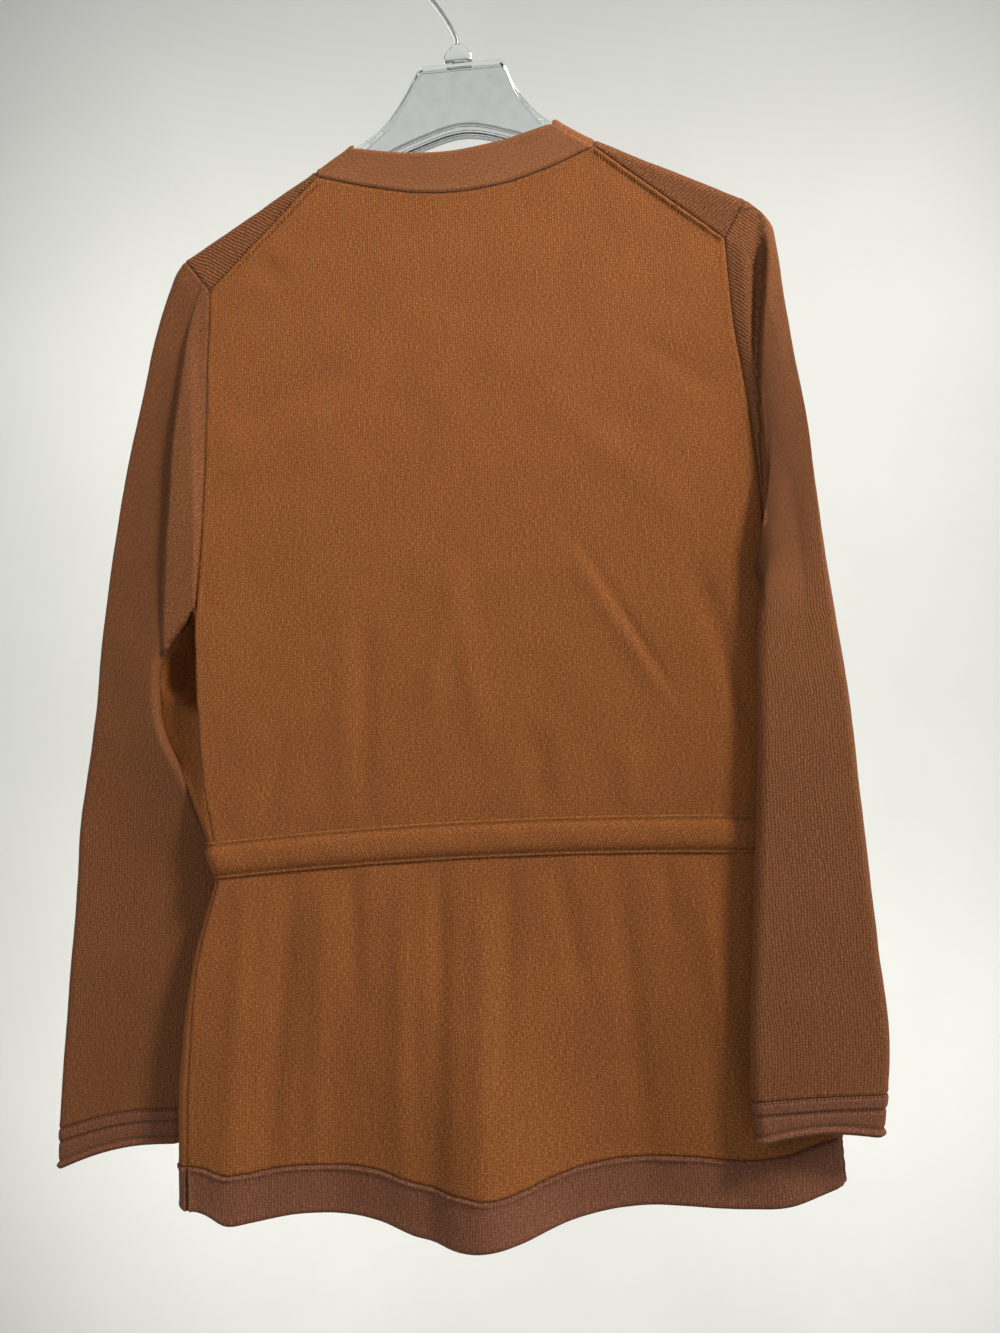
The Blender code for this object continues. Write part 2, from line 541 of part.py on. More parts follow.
def front_grid(side):
    """Rows of points of one front, from the shoulder seam to the hem."""
    rows = []
    for outer_reach, inner_reach in side.ridge_rows():
        rows.append(front_row_over_ridge(side, outer_reach, inner_reach))
    arm_top = rows[-1][0][2]
    neck_top = rows[-1][-1][2]
    underarm = side.arm[0][0]
    arm_end = underarm + ARM_TURN_RUN
    neck_end = underarm + NECK_TURN_RUN
    for k in range(1, FRONT_ARM_ROWS + 1):
        share = k / FRONT_ARM_ROWS
        z = mix(arm_top, arm_end, share)
        reach = reach_of(side.corner_x, z)
        shoulder = side.arm_x(reach)
        x = shoulder if abs(shoulder) > abs(side.corner_x) else smooth(side.arm, z)
        inner_z = mix(neck_top, neck_end, share)
        inner_x = side.sign * smooth(FRONT_NECK, inner_z)
        rows.append(flat_row(side, x, -reach_of(x, z), inner_x, -reach_of(inner_x, inner_z)))
    last = side.seam_turn(underarm)
    for k in range(1, TURN_ROWS):
        share = k / TURN_ROWS
        z = arm_end - ARM_TURN_RUN * share ** TURN_EASE
        rows.append(front_row_at_turn(side, mix(-90.0, last, share), z,
                                      mix(neck_end, underarm, share)))
    for level in range(LEVELS + 1):
        seam_x = side.seam_point(level_z(level, side.sign * 200.0, True))[0]
        outer_z = level_z(level, seam_x, True)
        inner_z = level_z(level, side.sign * 34.0, False)
        row = front_row_at_turn(side, side.seam_turn(outer_z), outer_z, inner_z)
        for k in range(FRONT_COLUMNS + 1):
            x = row[FOLD_COLUMNS + k][0]
            z = mix(outer_z, level_z(level, x, False), step(k / SETTLE_COLUMNS))
            row[FOLD_COLUMNS + k] = np.array([x, front_y(x, z), z])
        rows.append(row)
    return rows


FRONT_TOP_ROWS = STRIP_ROWS + 2 * ROUND_ROWS + FRONT_ARM_ROWS + TURN_ROWS


def back_grid(fronts):
    """Rows of points of the back. fronts are the grids of the two fronts."""
    left, right = fronts
    left_arm = LEFT.arm_back()
    right_arm = RIGHT.arm_back()
    top = list(left[0])
    for k in range(1, NECK_COLUMNS):
        x = mix(LEFT.neck_x, RIGHT.neck_x, k / NECK_COLUMNS)
        z = smooth(NECK_SEAM, x)
        top.append(np.array([x, back_y(x, z), z]))
    top += list(reversed(right[0]))
    columns = len(top) - 1
    rows = [top]
    for r in range(1, ARM_ROWS + LEVELS + 1):
        level = r - ARM_ROWS
        ends = (left_arm[r], right_arm[r]) if level <= 0 else None
        if level >= 0:
            ends = (left[FRONT_TOP_ROWS + level][0], right[FRONT_TOP_ROWS + level][0])
        row = [ends[0]]
        for c in range(1, columns):
            share = c / columns
            even_x = mix(ends[0][0], ends[1][0], share)
            if level < 0:
                down = r / ARM_ROWS
                x = mix(top[c][0], even_x, step(down * 1.3))
                lift = top[c][2] - mix(top[0][2], top[-1][2], share)
                z = mix(ends[0][2], ends[1][2], share) + lift * (1.0 - down) ** 1.5
            else:
                x = even_x
                z = level_z(level, x, True)
            row.append(np.array([x, back_y(x, z), z]))
        row.append(ends[1])
        rows.append(row)
    return rows


def band_grid(seam, side_sign):
    """Rows across the band. seam is the front's inner edge, from shoulder to hem."""
    rows = []
    for point in seam:
        rows.append(band_row(point, side_sign))
    return rows


def band_row(point, sign):
    """Points across the front band, from its seam to its free edge."""
    x, y, z = point
    reach = reach_of(x, z)
    quarter = math.pi * RIDGE_RADIUS / 2.0
    row = [point]
    if reach < quarter + 0.01:
        signed = reach if y > 0 else -reach
        for k in range(1, BAND_COLUMNS + 1):
            across = k / BAND_COLUMNS
            row.append(over_ridge(x - sign * SHOULDER_BAND * across, signed))
        return row
    start, end = BAND_LEAN_RUN
    lean = math.radians(BAND_LEAN * step((z - start) / (end - start)))
    for k in range(1, BAND_COLUMNS + 1):
        across = FRONT_BAND * k / BAND_COLUMNS
        new_x = x - sign * across * math.cos(lean)
        if new_x * sign > -BAND_MEET:
            new_x = sign * max(abs(new_x), FRONT_GAP / 2.0)
        new_z = z + across * math.sin(lean)
        row.append(np.array([new_x, front_y(new_x, new_z), new_z]))
    return row


def neck_rows(seam, ends):
    """Rows across the band at the back of the neck. ends are its two end rows."""
    rows = [ends[0]]
    count = len(seam) - 1
    for k in range(1, count):
        point = seam[k]
        share = k / count
        edge_x = mix(ends[0][-1][0], ends[1][-1][0], share)
        edge_z = smooth(NECK_EDGE, edge_x)
        row = [point]
        for c in range(1, BAND_COLUMNS + 1):
            across = c / BAND_COLUMNS
            x = mix(point[0], edge_x, across)
            z = mix(point[2], edge_z, across)
            row.append(np.array([x, back_y(x, z), z]))
        rows.append(row)
    rows.append(ends[1])
    return rows


# ---------------------------------------------------------------- sleeves

def sleeve_ends(side, share):
    """The outer and inner end of the section at a share of the sleeve's length."""
    outer_z = smooth(side.pair, share, 1)
    inner_z = smooth(side.pair, share, 2)
    outer = (smooth(side.outer, outer_z, 1), outer_z,
             smooth(side.outer, outer_z, 2), smooth(side.outer, outer_z, 3))
    inner = (smooth(side.inner, inner_z, 1), inner_z,
             smooth(side.inner, inner_z, 2), smooth(side.inner, inner_z, 3))
    return outer, inner


def section_point(outer, inner, along, back):
    """A point of a flattened tube. along goes from its outer end, 0, to its inner, 1."""
    length = math.hypot(outer[0] - inner[0], outer[1] - inner[1])
    end = min(END_ROUND, length / 4.0)
    arc = END_ARC * end
    distance = along * (length - 2.0 * end + 2.0 * arc)
    flat = length - 2.0 * end
    if distance < arc:
        angle = distance / arc * math.pi / 2.0
        place = end * (1.0 - math.cos(angle))
        rise = math.sin(angle)
    elif distance > arc + flat:
        angle = (distance - arc - flat) / arc * math.pi / 2.0
        place = length - end + end * math.sin(angle)
        rise = math.cos(angle)
    else:
        place = end + distance - arc
        rise = 1.0
    share = place / length
    level = mix(outer[2], inner[2], share) if back else mix(outer[3], inner[3], share)
    middle = mix((outer[2] + outer[3]) / 2.0, (inner[2] + inner[3]) / 2.0, share)
    y = middle + (level - middle) * rise
    return np.array([mix(outer[0], inner[0], share), y, mix(outer[1], inner[1], share)])


def strip_height(side, point, share):
    """y of the sleeve's back, with the strip next to the armhole seam laid in."""
    x, y, z = point
    top = side.strip[0][0]
    bottom = side.strip[-1][0]
    weight = step((top + STRIP_TOP_FADE - z) / STRIP_TOP_FADE) * step(share / STRIP_START)
    weight *= step((z - bottom) / STRIP_END_FADE)
    ridge = smooth(side.strip, z, 1)
    inside = step(0.5 + (abs(ridge) - abs(x)) / STRIP_STEP)
    return mix(y, smooth(side.strip, z, 2), weight * inside)


def half_ring(side, ring, share, back):
    """Points of one half of a sleeve section, from the outer end to the inner one."""
    steps = np.linalg.norm(np.diff(np.array(ring), axis=0), axis=1)
    marks = np.concatenate([[0.0], np.cumsum(steps)]) / steps.sum()
    outer, inner = sleeve_ends(side, share)
    first_outer, first_inner = sleeve_ends(side, 0.0)
    fade = max(1.0 - share / SEAM_FADE, 0.0) ** 1.5
    points = []
    for k, mark in enumerate(marks):
        along = mix(mark, k / (len(ring) - 1), step(share / EVEN_SHARE))
        point = section_point(outer, inner, along, back)
        start = section_point(first_outer, first_inner, mark, back)
        point = point + (ring[k] - start) * fade
        point[2] += linear(side.arch, share) * math.sin(math.pi * along)
        if back and 0 < k < len(ring) - 1:
            point[1] = strip_height(side, point, share)
        points.append(point)
    return points


def sleeve_grid(side, back_ring, front_ring):
    """Rings of points from the armhole to the end of the cuff."""
    rows = [list(back_ring) + list(reversed(front_ring[1:-1]))]
    cuff_share = side.pair[-1][0] - 1.0
    shares = [k / SLEEVE_ROWS for k in range(1, SLEEVE_ROWS + 1)]
    shares += [1.0 + cuff_share * k / CUFF_ROWS for k in range(1, CUFF_ROWS + 1)]
    for share in shares:
        back_half = half_ring(side, back_ring, share, True)
        front_half = half_ring(side, front_ring, share, False)
        rows.append(back_half + list(reversed(front_half[1:-1])))
    return rows


# ---------------------------------------------------------------- pieces of cloth

class Cloth:
    """One surface of shared points, whose faces belong to named pieces."""

    def __init__(self):
        self.points = []
        self.index = {}
        self.faces = {}
        self.normals = None

    def point(self, place):
        """The number of a place, which is added when it is new."""
        key = tuple(round(float(value), 3) for value in place)
        if key not in self.index:
            self.index[key] = len(self.points)
            self.points.append(np.array(place, float))
        return self.index[key]

    def add_grid(self, rows, piece_of, closed=False, flip=False):
        """Add the faces of a grid. piece_of gives a row of faces its piece."""
        ids = [[self.point(place) for place in row] for row in rows]
        for r in range(len(ids) - 1):
            count = len(ids[r]) if closed else len(ids[r]) - 1
            for c in range(count):
                d = (c + 1) % len(ids[r])
                face = [ids[r][c], ids[r + 1][c], ids[r + 1][d], ids[r][d]]
                face = list(dict.fromkeys(face))
                if flip:
                    face.reverse()
                self.faces.setdefault(piece_of(r), []).append(face)

    def settle(self, crotches):
        """Work out the outward direction at each point, over all the pieces.

        crotches are the points round each underarm, where out is also down.
        """
        points = np.array(self.points)
        normals = np.zeros_like(points)
        for faces in self.faces.values():
            for face in faces:
                corners = points[face]
                across = np.cross(corners[2] - corners[0], corners[-1] - corners[1])
                size = np.linalg.norm(across)
                if size > 0.0:
                    normals[face] += across / size
        lengths = np.linalg.norm(normals, axis=1)
        normals = normals / np.maximum(lengths, 1e-9)[:, None]
        for place, weight in crotches:
            normals[self.point(place)] += np.array([0.0, 0.0, -weight])
        even = normals.copy()
        for faces in self.faces.values():
            for face in faces:
                even[face] += EVEN_OUT * normals[face].sum(axis=0)
        lengths = np.linalg.norm(even, axis=1)
        self.normals = even / np.maximum(lengths, 1e-9)[:, None]

    def pull_in(self, faces, distance):
        """For each edge point of a piece, the move that leaves half a seam's gap."""
        edges = {}
        for face in faces:
            for a, b in zip(face, face[1:] + face[:1]):
                edges[(a, b)] = face
        moves = {}
        for (a, b), face in edges.items():
            if (b, a) in edges:
                continue
            start = self.points[a]
            along = self.points[b] - start
            along = along / np.linalg.norm(along)
            middle = sum(self.points[k] for k in face) / len(face) - start
            inward = middle - along * float(np.dot(middle, along))
            inward = inward / np.linalg.norm(inward)
            for k in (a, b):
                moves.setdefault(k, []).append(inward)
        result = {}
        for k, directions in moves.items():
            total = sum(directions)
            if len(directions) > 1:
                total = total / max(1.0 + float(np.dot(directions[0], directions[1])), 0.3)
            result[k] = total * distance
        return result

    def solid(self, name, look, wall):
        """Make one piece as a wall that reaches inward from its outer points."""
        faces = self.faces[name]
        moves = self.pull_in(faces, SEAM_GAP / 2.0)
        used = sorted({k for face in faces for k in face})
        mesh = bmesh.new()
        outer = {}
        inner = {}
        for k in used:
            place = self.points[k] + moves.get(k, 0.0)
            outer[k] = mesh.verts.new(place * MM)
            inner[k] = mesh.verts.new((place - self.normals[k] * wall) * MM)
        edges = {(a, b) for face in faces for a, b in zip(face, face[1:] + face[:1])}
        for face in faces:
            mesh.faces.new([outer[k] for k in face])
            mesh.faces.new([inner[k] for k in reversed(face)])
        for a, b in edges:
            if (b, a) not in edges:
                mesh.faces.new([outer[b], outer[a], inner[a], inner[b]])
        bmesh.ops.triangulate(mesh, faces=mesh.faces[:])
        return finish(name, mesh, look)


def finish(name, mesh, look):
    """Turn a bmesh into a named object with a material of its own."""
    data = bpy.data.meshes.new(name)
    mesh.to_mesh(data)
    mesh.free()
    data.shade_smooth()
    data.set_sharp_from_angle(angle=math.radians(SHARP_ANGLE))
    return place_object(name, data, look)


def place_object(name, data, look):
    """Put a mesh or a curve in the scene, under the empty at the hook."""
    data.materials.append(make_material(name, look))
    thing = bpy.data.objects.new(name, data)
    thing.parent = bpy.data.objects[MOUNT_EMPTY]
    bpy.context.collection.objects.link(thing)
    return thing


def make_material(name, look):
    """A Principled material with plain values, read from a look."""
    color, roughness, metallic, transmission = look
    material = bpy.data.materials.new(name + "_material")
    material.use_nodes = True
    shader = material.node_tree.nodes["Principled BSDF"]
    shader.inputs["Base Color"].default_value = (*color, 1.0)
    shader.inputs["Roughness"].default_value = roughness
    shader.inputs["Metallic"].default_value = metallic
    shader.inputs["Transmission Weight"].default_value = transmission
    return material


def skin_solid(name, outer, inner, look):
    """Close two matching grids of points, and the walls between their edges."""
    mesh = bmesh.new()
    tops = [[mesh.verts.new(Vector(place) * MM) for place in row] for row in outer]
    feet = [[mesh.verts.new(Vector(place) * MM) for place in row] for row in inner]
    rows = len(tops)
    columns = len(tops[0])
    for r in range(rows - 1):
        for c in range(columns - 1):
            mesh.faces.new([tops[r][c], tops[r + 1][c], tops[r + 1][c + 1], tops[r][c + 1]])
            mesh.faces.new([feet[r][c], feet[r][c + 1], feet[r + 1][c + 1], feet[r + 1][c]])
    for c in range(columns - 1):
        mesh.faces.new([tops[0][c], tops[0][c + 1], feet[0][c + 1], feet[0][c]])
        mesh.faces.new([tops[-1][c + 1], tops[-1][c], feet[-1][c], feet[-1][c + 1]])
    for r in range(rows - 1):
        mesh.faces.new([tops[r + 1][0], tops[r][0], feet[r][0], feet[r + 1][0]])
        mesh.faces.new([tops[r][-1], tops[r + 1][-1], feet[r + 1][-1], feet[r][-1]])
    bmesh.ops.recalc_face_normals(mesh, faces=mesh.faces[:])
    bmesh.ops.triangulate(mesh, faces=mesh.faces[:])
    return finish(name, mesh, look)


def loft_solid(name, sections, look):
    """Join a run of closed sections, with a flat face at each end."""
    mesh = bmesh.new()
    loops = [[mesh.verts.new(Vector(place) * MM) for place in section] for section in sections]
    for a, b in zip(loops, loops[1:]):
        for k in range(len(a)):
            n = (k + 1) % len(a)
            mesh.faces.new([a[k], b[k], b[n], a[n]])
    mesh.faces.new(loops[0])
    mesh.faces.new(list(reversed(loops[-1])))
    bmesh.ops.recalc_face_normals(mesh, faces=mesh.faces[:])
    bmesh.ops.triangulate(mesh, faces=mesh.faces[:])
    return finish(name, mesh, look)


def build_casing(cloth, back, fronts):
    """The padded tunnel round the waist, made from the body's own points."""
    outer = []
    inner = []
    for k, rise in enumerate(CASING_RISE):
        left = fronts[0][FRONT_TOP_ROWS + SIDE_ROWS + k]
        right = fronts[1][FRONT_TOP_ROWS + SIDE_ROWS + k]
        around = list(reversed(left)) + back[ARM_ROWS + SIDE_ROWS + k][1:] + right[1:]
        normals = [cloth.normals[cloth.point(place)] for place in around]
        outer.append([place + out * rise for place, out in zip(around, normals)])
        inner.append([place + out * LAY_GAP for place, out in zip(around, normals)])
    skin_solid("waist_casing", outer, inner, KNIT)


def ribbon_solid(name, start, end, widths, upright):
    """A run of the tie, flat on the front bands. start and end are x and z."""
    outer = []
    inner = []
    for k, wide in enumerate(widths):
        share = k / (len(widths) - 1)
        x = mix(start[0], end[0], share)
        z = mix(start[1], end[1], share)
        place = np.array([x, front_y(x, z) - TIE_LAY, z])
        half = np.array([0.0, 0.0, wide / 2.0] if upright else [wide / 2.0, 0.0, 0.0])
        outer.append([place + half * a - [0.0, TIE_THICK * b, 0.0] for a, b in RIBBON_EDGE])
        inner.append([place + half * a for a, b in RIBBON_EDGE])
    skin_solid(name, outer, inner, KNIT)


def build_tie():
    """The tie's two ends come out of the casing, meet in a knot and hang down."""
    middle_z = casing_top(0.0) - CASING_HEIGHT / 2.0
    seat_y = front_y(1.0, middle_z) - TIE_LAY
    sections = []
    for x, tall, deep in KNOT_SHAPE:
        sections.append([(x, seat_y - deep * b, middle_z + tall * a) for a, b in KNOT_RIM])
    loft_solid("tie_knot", sections, KNIT)
    knot_end = KNOT_SHAPE[-1][0]
    knot_tall = max(row[1] for row in KNOT_SHAPE)
    casing_end = FRONT_BAND + FRONT_GAP / 2.0 - LAY_GAP
    for side in (LEFT, RIGHT):
        start = (side.sign * casing_end, middle_z)
        end = (side.sign * (knot_end + LAY_GAP), middle_z)
        ribbon_solid("tie_" + side.name, start, end, [TIE_WIDTH] * 4, True)
        first = (side.sign * TAIL_ROOT, middle_z - knot_tall - LAY_GAP)
        last = (side.sign * (TAIL_ROOT + TIE_SPLAY), first[1] - TIE_DROP)
        ribbon_solid("tie_tail_" + side.name, first, last, TAIL_WIDTHS, False)


def hanger_section(x):
    """Outline of the hanger across its arm: a rounded rim, a web and a foot."""
    on_plate = PLATE_LINE[0][0] <= x <= PLATE_LINE[-1][0]
    top = linear(PLATE_LINE, x) if on_plate else linear(RIDGE, x) - HANGER_DROP
    foot = linear(HANGER_FOOT, x)
    start, end = RIM_WIDENS
    half = mix(PLATE_HALF, RIM_HALF, step((abs(x) - start) / (end - start)))
    side = [(half * across, top - half * down) for across, down in RIM_CURVE]
    side += [(WEB_HALF, top - half - RIM_CHAMFER), (WEB_HALF, foot + RIM_HEIGHT + FOOT_CHAMFER),
             (PLATE_HALF, foot + RIM_HEIGHT), (PLATE_HALF, foot)]
    mirrored = [(-y, z) for y, z in reversed(side[1:])]
    return [(x, y, z) for y, z in side + mirrored]


def build_hanger():
    """The clear hanger inside the shoulders, with its collar."""
    marks = {-ARM_TIP, ARM_TIP}
    for table in (PLATE_LINE, HANGER_FOOT, RIDGE):
        marks |= {row[0] for row in table if abs(row[0]) < ARM_TIP}
    loft_solid("hanger_body", [hanger_section(x) for x in sorted(marks)], CLEAR)
    foot_x, foot_y = COLLAR_FOOT
    head_x, head_y = COLLAR_HEAD
    step_z = PLATE_TOP + COLLAR_STEP
    rings = []
    for z, wide, deep in ((PLATE_TOP, foot_x, foot_y), (step_z, foot_x, foot_y),
                          (COLLAR_TOP, head_x, head_y)):
        rings.append([(STEM_X - wide, -deep, z), (STEM_X + wide, -deep, z),
                      (STEM_X + wide, deep, z), (STEM_X - wide, deep, z)])
    loft_solid("hanger_collar", rings, CLEAR)


def build_hook():
    """The wire hook, whose loop has its inner top at the origin."""
    path = [(x, z) for x, z in STEM]
    center_z = WIRE_RADIUS - HOOK_RADIUS
    for k in range(HOOK_STEPS + 1):
        angle = math.radians(mix(HOOK_START, HOOK_END, k / HOOK_STEPS))
        path.append((HOOK_RADIUS * math.cos(angle), center_z + HOOK_RADIUS * math.sin(angle)))
    curve = bpy.data.curves.new("hanger_hook", "CURVE")
    curve.dimensions = "3D"
    curve.bevel_depth = WIRE_RADIUS * MM
    curve.bevel_resolution = 2
    curve.use_fill_caps = True
    spline = curve.splines.new("POLY")
    spline.points.add(len(path) - 1)
    for point, (x, z) in zip(spline.points, path):
        point.co = (x * MM, 0.0, z * MM, 1.0)
    place_object("hanger_hook", curve, STEEL)


LEFT = Side("left", 1)
RIGHT = Side("right", -1)


def build_cloth():
    """Lay out the whole surface and make every knitted piece."""
    cloth = Cloth()
    fronts = [front_grid(LEFT), front_grid(RIGHT)]
    back = back_grid(fronts)
    hem_row = ARM_ROWS + HEM_LEVEL
    cloth.add_grid(back, lambda r: "back" if r < hem_row else "hem_band_back", flip=False)
    front_hem = FRONT_TOP_ROWS + HEM_LEVEL
    for side, grid in zip((LEFT, RIGHT), fronts):
        name = side.name
        cloth.add_grid(grid, lambda r: ("front_" if r < front_hem else "hem_band_") + name,
                       flip=side is LEFT)
        seam = [row[-1] for row in grid]
        band = band_grid(seam, side.sign)
        cloth.add_grid(band, lambda r: "front_band_" + name, flip=side is LEFT)
        arm_back = [row[0] for row in back[:ARM_ROWS + 1]]
        if side is RIGHT:
            arm_back = [row[-1] for row in back[:ARM_ROWS + 1]]
        ridge = STRIP_ROWS + ROUND_ROWS
        outer = [row[0] for row in grid[:FRONT_TOP_ROWS + 1]]
        back_ring = list(reversed(outer[1:ridge + 1])) + arm_back
        sleeve = sleeve_grid(side, back_ring, outer[ridge:])
        cloth.add_grid(sleeve, lambda r: ("sleeve_" if r < SLEEVE_ROWS else "cuff_") + name,
                       closed=True, flip=side is RIGHT)
    first = FOLD_COLUMNS + FRONT_COLUMNS
    neck_seam = back[0][first:first + NECK_COLUMNS + 1]
    ends = [band_row(fronts[0][0][-1], 1), band_row(fronts[1][0][-1], -1)]
    cloth.add_grid(neck_rows(neck_seam, ends), lambda r: "neck_band", flip=False)
    crotches = []
    for grid in fronts:
        for k, weight in enumerate(CROTCH_LEAN):
            crotches.append((grid[FRONT_TOP_ROWS - k][0], weight))
    cloth.settle(crotches)
    for name in cloth.faces:
        is_band = "band" in name or "cuff" in name
        cloth.solid(name, BAND_KNIT if is_band else KNIT, BAND_WALL if is_band else WALL)
    build_casing(cloth, back, fronts)


def clear_scene():
    """Remove whatever the scene starts with."""
    for thing in list(bpy.data.objects):
        bpy.data.objects.remove(thing, do_unlink=True)


def main():
    """Build every piece under the empty that marks where the hook hangs."""
    clear_scene()
    bpy.context.collection.objects.link(bpy.data.objects.new(MOUNT_EMPTY, None))
    build_cloth()
    build_tie()
    build_hanger()
    build_hook()


if __name__ == "__main__":
    main()
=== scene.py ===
"""Tie-front cardigan hung on a clear plastic hanger, dressed for its photograph.

The frame is the garment's own: +Z up, the origin where the hook hangs, the front
facing -Y and the back, which the photograph shows, facing +Y. The wearer's left is
+X. Sizes are in millimetres and become metres where a mesh is made.
"""

import logging
import math
from bisect import bisect_right
from dataclasses import dataclass, field
from enum import Enum
from typing import Callable, Sequence

import bpy
import numpy as np
from mathutils import Matrix, Vector, noise
from mathutils.kdtree import KDTree


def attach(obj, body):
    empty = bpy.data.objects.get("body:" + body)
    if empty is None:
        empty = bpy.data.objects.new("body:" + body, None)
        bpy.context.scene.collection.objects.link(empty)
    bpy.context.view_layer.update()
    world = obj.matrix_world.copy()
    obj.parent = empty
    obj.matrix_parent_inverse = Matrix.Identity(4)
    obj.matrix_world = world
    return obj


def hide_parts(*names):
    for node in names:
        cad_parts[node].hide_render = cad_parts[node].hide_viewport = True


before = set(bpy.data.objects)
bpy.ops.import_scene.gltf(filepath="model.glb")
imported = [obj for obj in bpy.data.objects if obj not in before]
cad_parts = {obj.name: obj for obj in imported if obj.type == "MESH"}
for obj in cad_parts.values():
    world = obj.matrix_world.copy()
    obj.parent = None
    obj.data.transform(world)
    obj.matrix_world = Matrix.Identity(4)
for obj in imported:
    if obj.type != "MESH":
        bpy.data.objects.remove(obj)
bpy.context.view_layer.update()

log = logging.getLogger("cardigan")

MM = 0.001
Rows = Sequence[Sequence[float]]
Grid = list[list[np.ndarray]]


class Slot(Enum):
    """The material slots of the pieces' finishes, which dress is given but does not use."""

    KNIT = "knit"
    BAND = "rib_band"
    CLEAR = "clear_plastic"
    STEEL = "hook_steel"


class Hand(Enum):
    """A side of the garment, and the sign of its x."""

    LEFT = 1
    RIGHT = -1


# Steps of the mesh next to a seam, in millimetres from it
SEAM_STEPS = (0.0, 0.6, 1.3, 2.1, 3.2, 4.6)
# The cloth's slight unevenness: size and height in millimetres, and a shift
UNEVEN = ((31.0, 0.45, (0.0, 0.0, 0.0)), (11.0, 0.16, (7.0, 3.0, 5.0)))
# How much thinner the wall is at free and at sewn edges, and over what width
CLOSING = ((0.45, 0.8), (0.3, 0.7))
EDGE_SHARES = (0.0, 0.34, 0.67)  # where an edge is measured, by its length
FAR = 9.0                        # a distance at which there is no stitch
NO_EDGE = 99.0                   # the distance where a piece has no such edge
# These bands run on into each other, with no seam
BAND_RUN = frozenset(("neck_band", "front_band"))


# ---------------------------------------------------------------- small maths

class Curve:
    """A curve through the rows of a table, read by each row's first value."""

    def __init__(self, rows: Rows, straight: bool = False) -> None:
        """Sort the rows and work out the slope at each.

        Args:
            rows: Table rows, the key first.
            straight: True for straight runs between the rows.
        """
        ordered = sorted(tuple(row) for row in rows)
        self.keys = [float(row[0]) for row in ordered]
        self.columns = [[float(value) for value in column] for column in zip(*ordered)]
        self.slopes = [[float(s) for s in np.gradient(column, self.keys)]
                       for column in self.columns]
        self.straight = straight

    def at(self, key: float, column: int = 1) -> float:
        """Read one column at a key.

        Args:
            key: Where to read; past the ends, the end's value holds.
            column: Which value of the rows.

        Returns:
            The value there.
        """
        keys = self.keys
        values = self.columns[column]
        key = min(max(key, keys[0]), keys[-1])
        k = min(max(bisect_right(keys, key) - 1, 0), len(keys) - 2)
        span = keys[k + 1] - keys[k]
        t = (key - keys[k]) / span
        rise = values[k + 1] - values[k]
        if self.straight:
            return values[k] + rise * t
        limit = 3.0 * abs(rise)
        m0 = min(max(self.slopes[column][k] * span, -limit), limit)
        m1 = min(max(self.slopes[column][k + 1] * span, -limit), limit)
        return values[k] + t * (m0 + t * (3 * rise - 2 * m0 - m1 + t * (m0 + m1 - 2 * rise)))


def step(value: float) -> float:
    """Smooth rise from 0 to 1 while value goes from 0 to 1."""
    value = min(max(value, 0.0), 1.0)
    return value * value * (3.0 - 2.0 * value)


def mix(a: float, b: float, share: float) -> float:
    """A value between two, by its share of the way."""
    return a + (b - a) * share


def bell(value: np.ndarray, middle: float, width: float) -> np.ndarray:
    """A soft bump of height 1 at the middle."""
    return np.exp(-((value - middle) / width) ** 2)


def bent(value: float, power: float) -> float:
    """A sine or cosine raised to a power with its sign kept, for a squarer ring."""
    return math.copysign(abs(value) ** power, value)


def marks(length: float, even: float, fine_start: bool, fine_end: bool) -> list[float]:
    """Shares of a length at even steps, closer together next to a seam.

    Args:
        length: The length in millimetres.
        even: The even step.
        fine_start: True where the length starts at a seam.
        fine_end: True where it ends at one.

    Returns:
        Shares from 0 to 1.
    """
    start = list(SEAM_STEPS) if fine_start else [0.0]
    end = list(SEAM_STEPS) if fine_end else [0.0]
    middle = length - start[-1] - end[-1]
    count = max(round(middle / even), 1)
    places = start[:-1] + [start[-1] + middle * k / count for k in range(count + 1)]
    places += [length - place for place in reversed(end[:-1])]
    return [place / length for place in places]


# ---------------------------------------------------------------- finishes

Socket = bpy.types.NodeSocket
MIX_A, MIX_B, MIX_OUT = 6, 7, 2      # the colour sockets of a Mix node


def linear_rgb(color: str) -> tuple[float, float, float, float]:
    """Turn an sRGB hex colour to linear values with an alpha of 1.

    Args:
        color: A hash sign and six hex digits.

    Returns:
        Red, green, blue and alpha.
    """
    values = [int(color[k:k + 2], 16) / 255.0 for k in (1, 3, 5)]
    curve = [v / 12.92 if v <= 0.04045 else ((v + 0.055) / 1.055) ** 2.4 for v in values]
    return (*curve, 1.0)


def add_node(tree: bpy.types.NodeTree, kind: str, inputs: dict | None = None,
             **settings: object) -> bpy.types.Node:
    """Add a node with its settings, values and links.

    Args:
        tree: The material's nodes.
        kind: The node's type name.
        inputs: For each input's name or number, a value or the output to link.
        settings: The node's own properties.

    Returns:
        The new node.
    """
    node = tree.nodes.new(kind)
    for name, value in settings.items():
        setattr(node, name, value)
    for key, value in (inputs or {}).items():
        if isinstance(value, Socket):
            tree.links.new(value, node.inputs[key])
        else:
            node.inputs[key].default_value = value
    return node


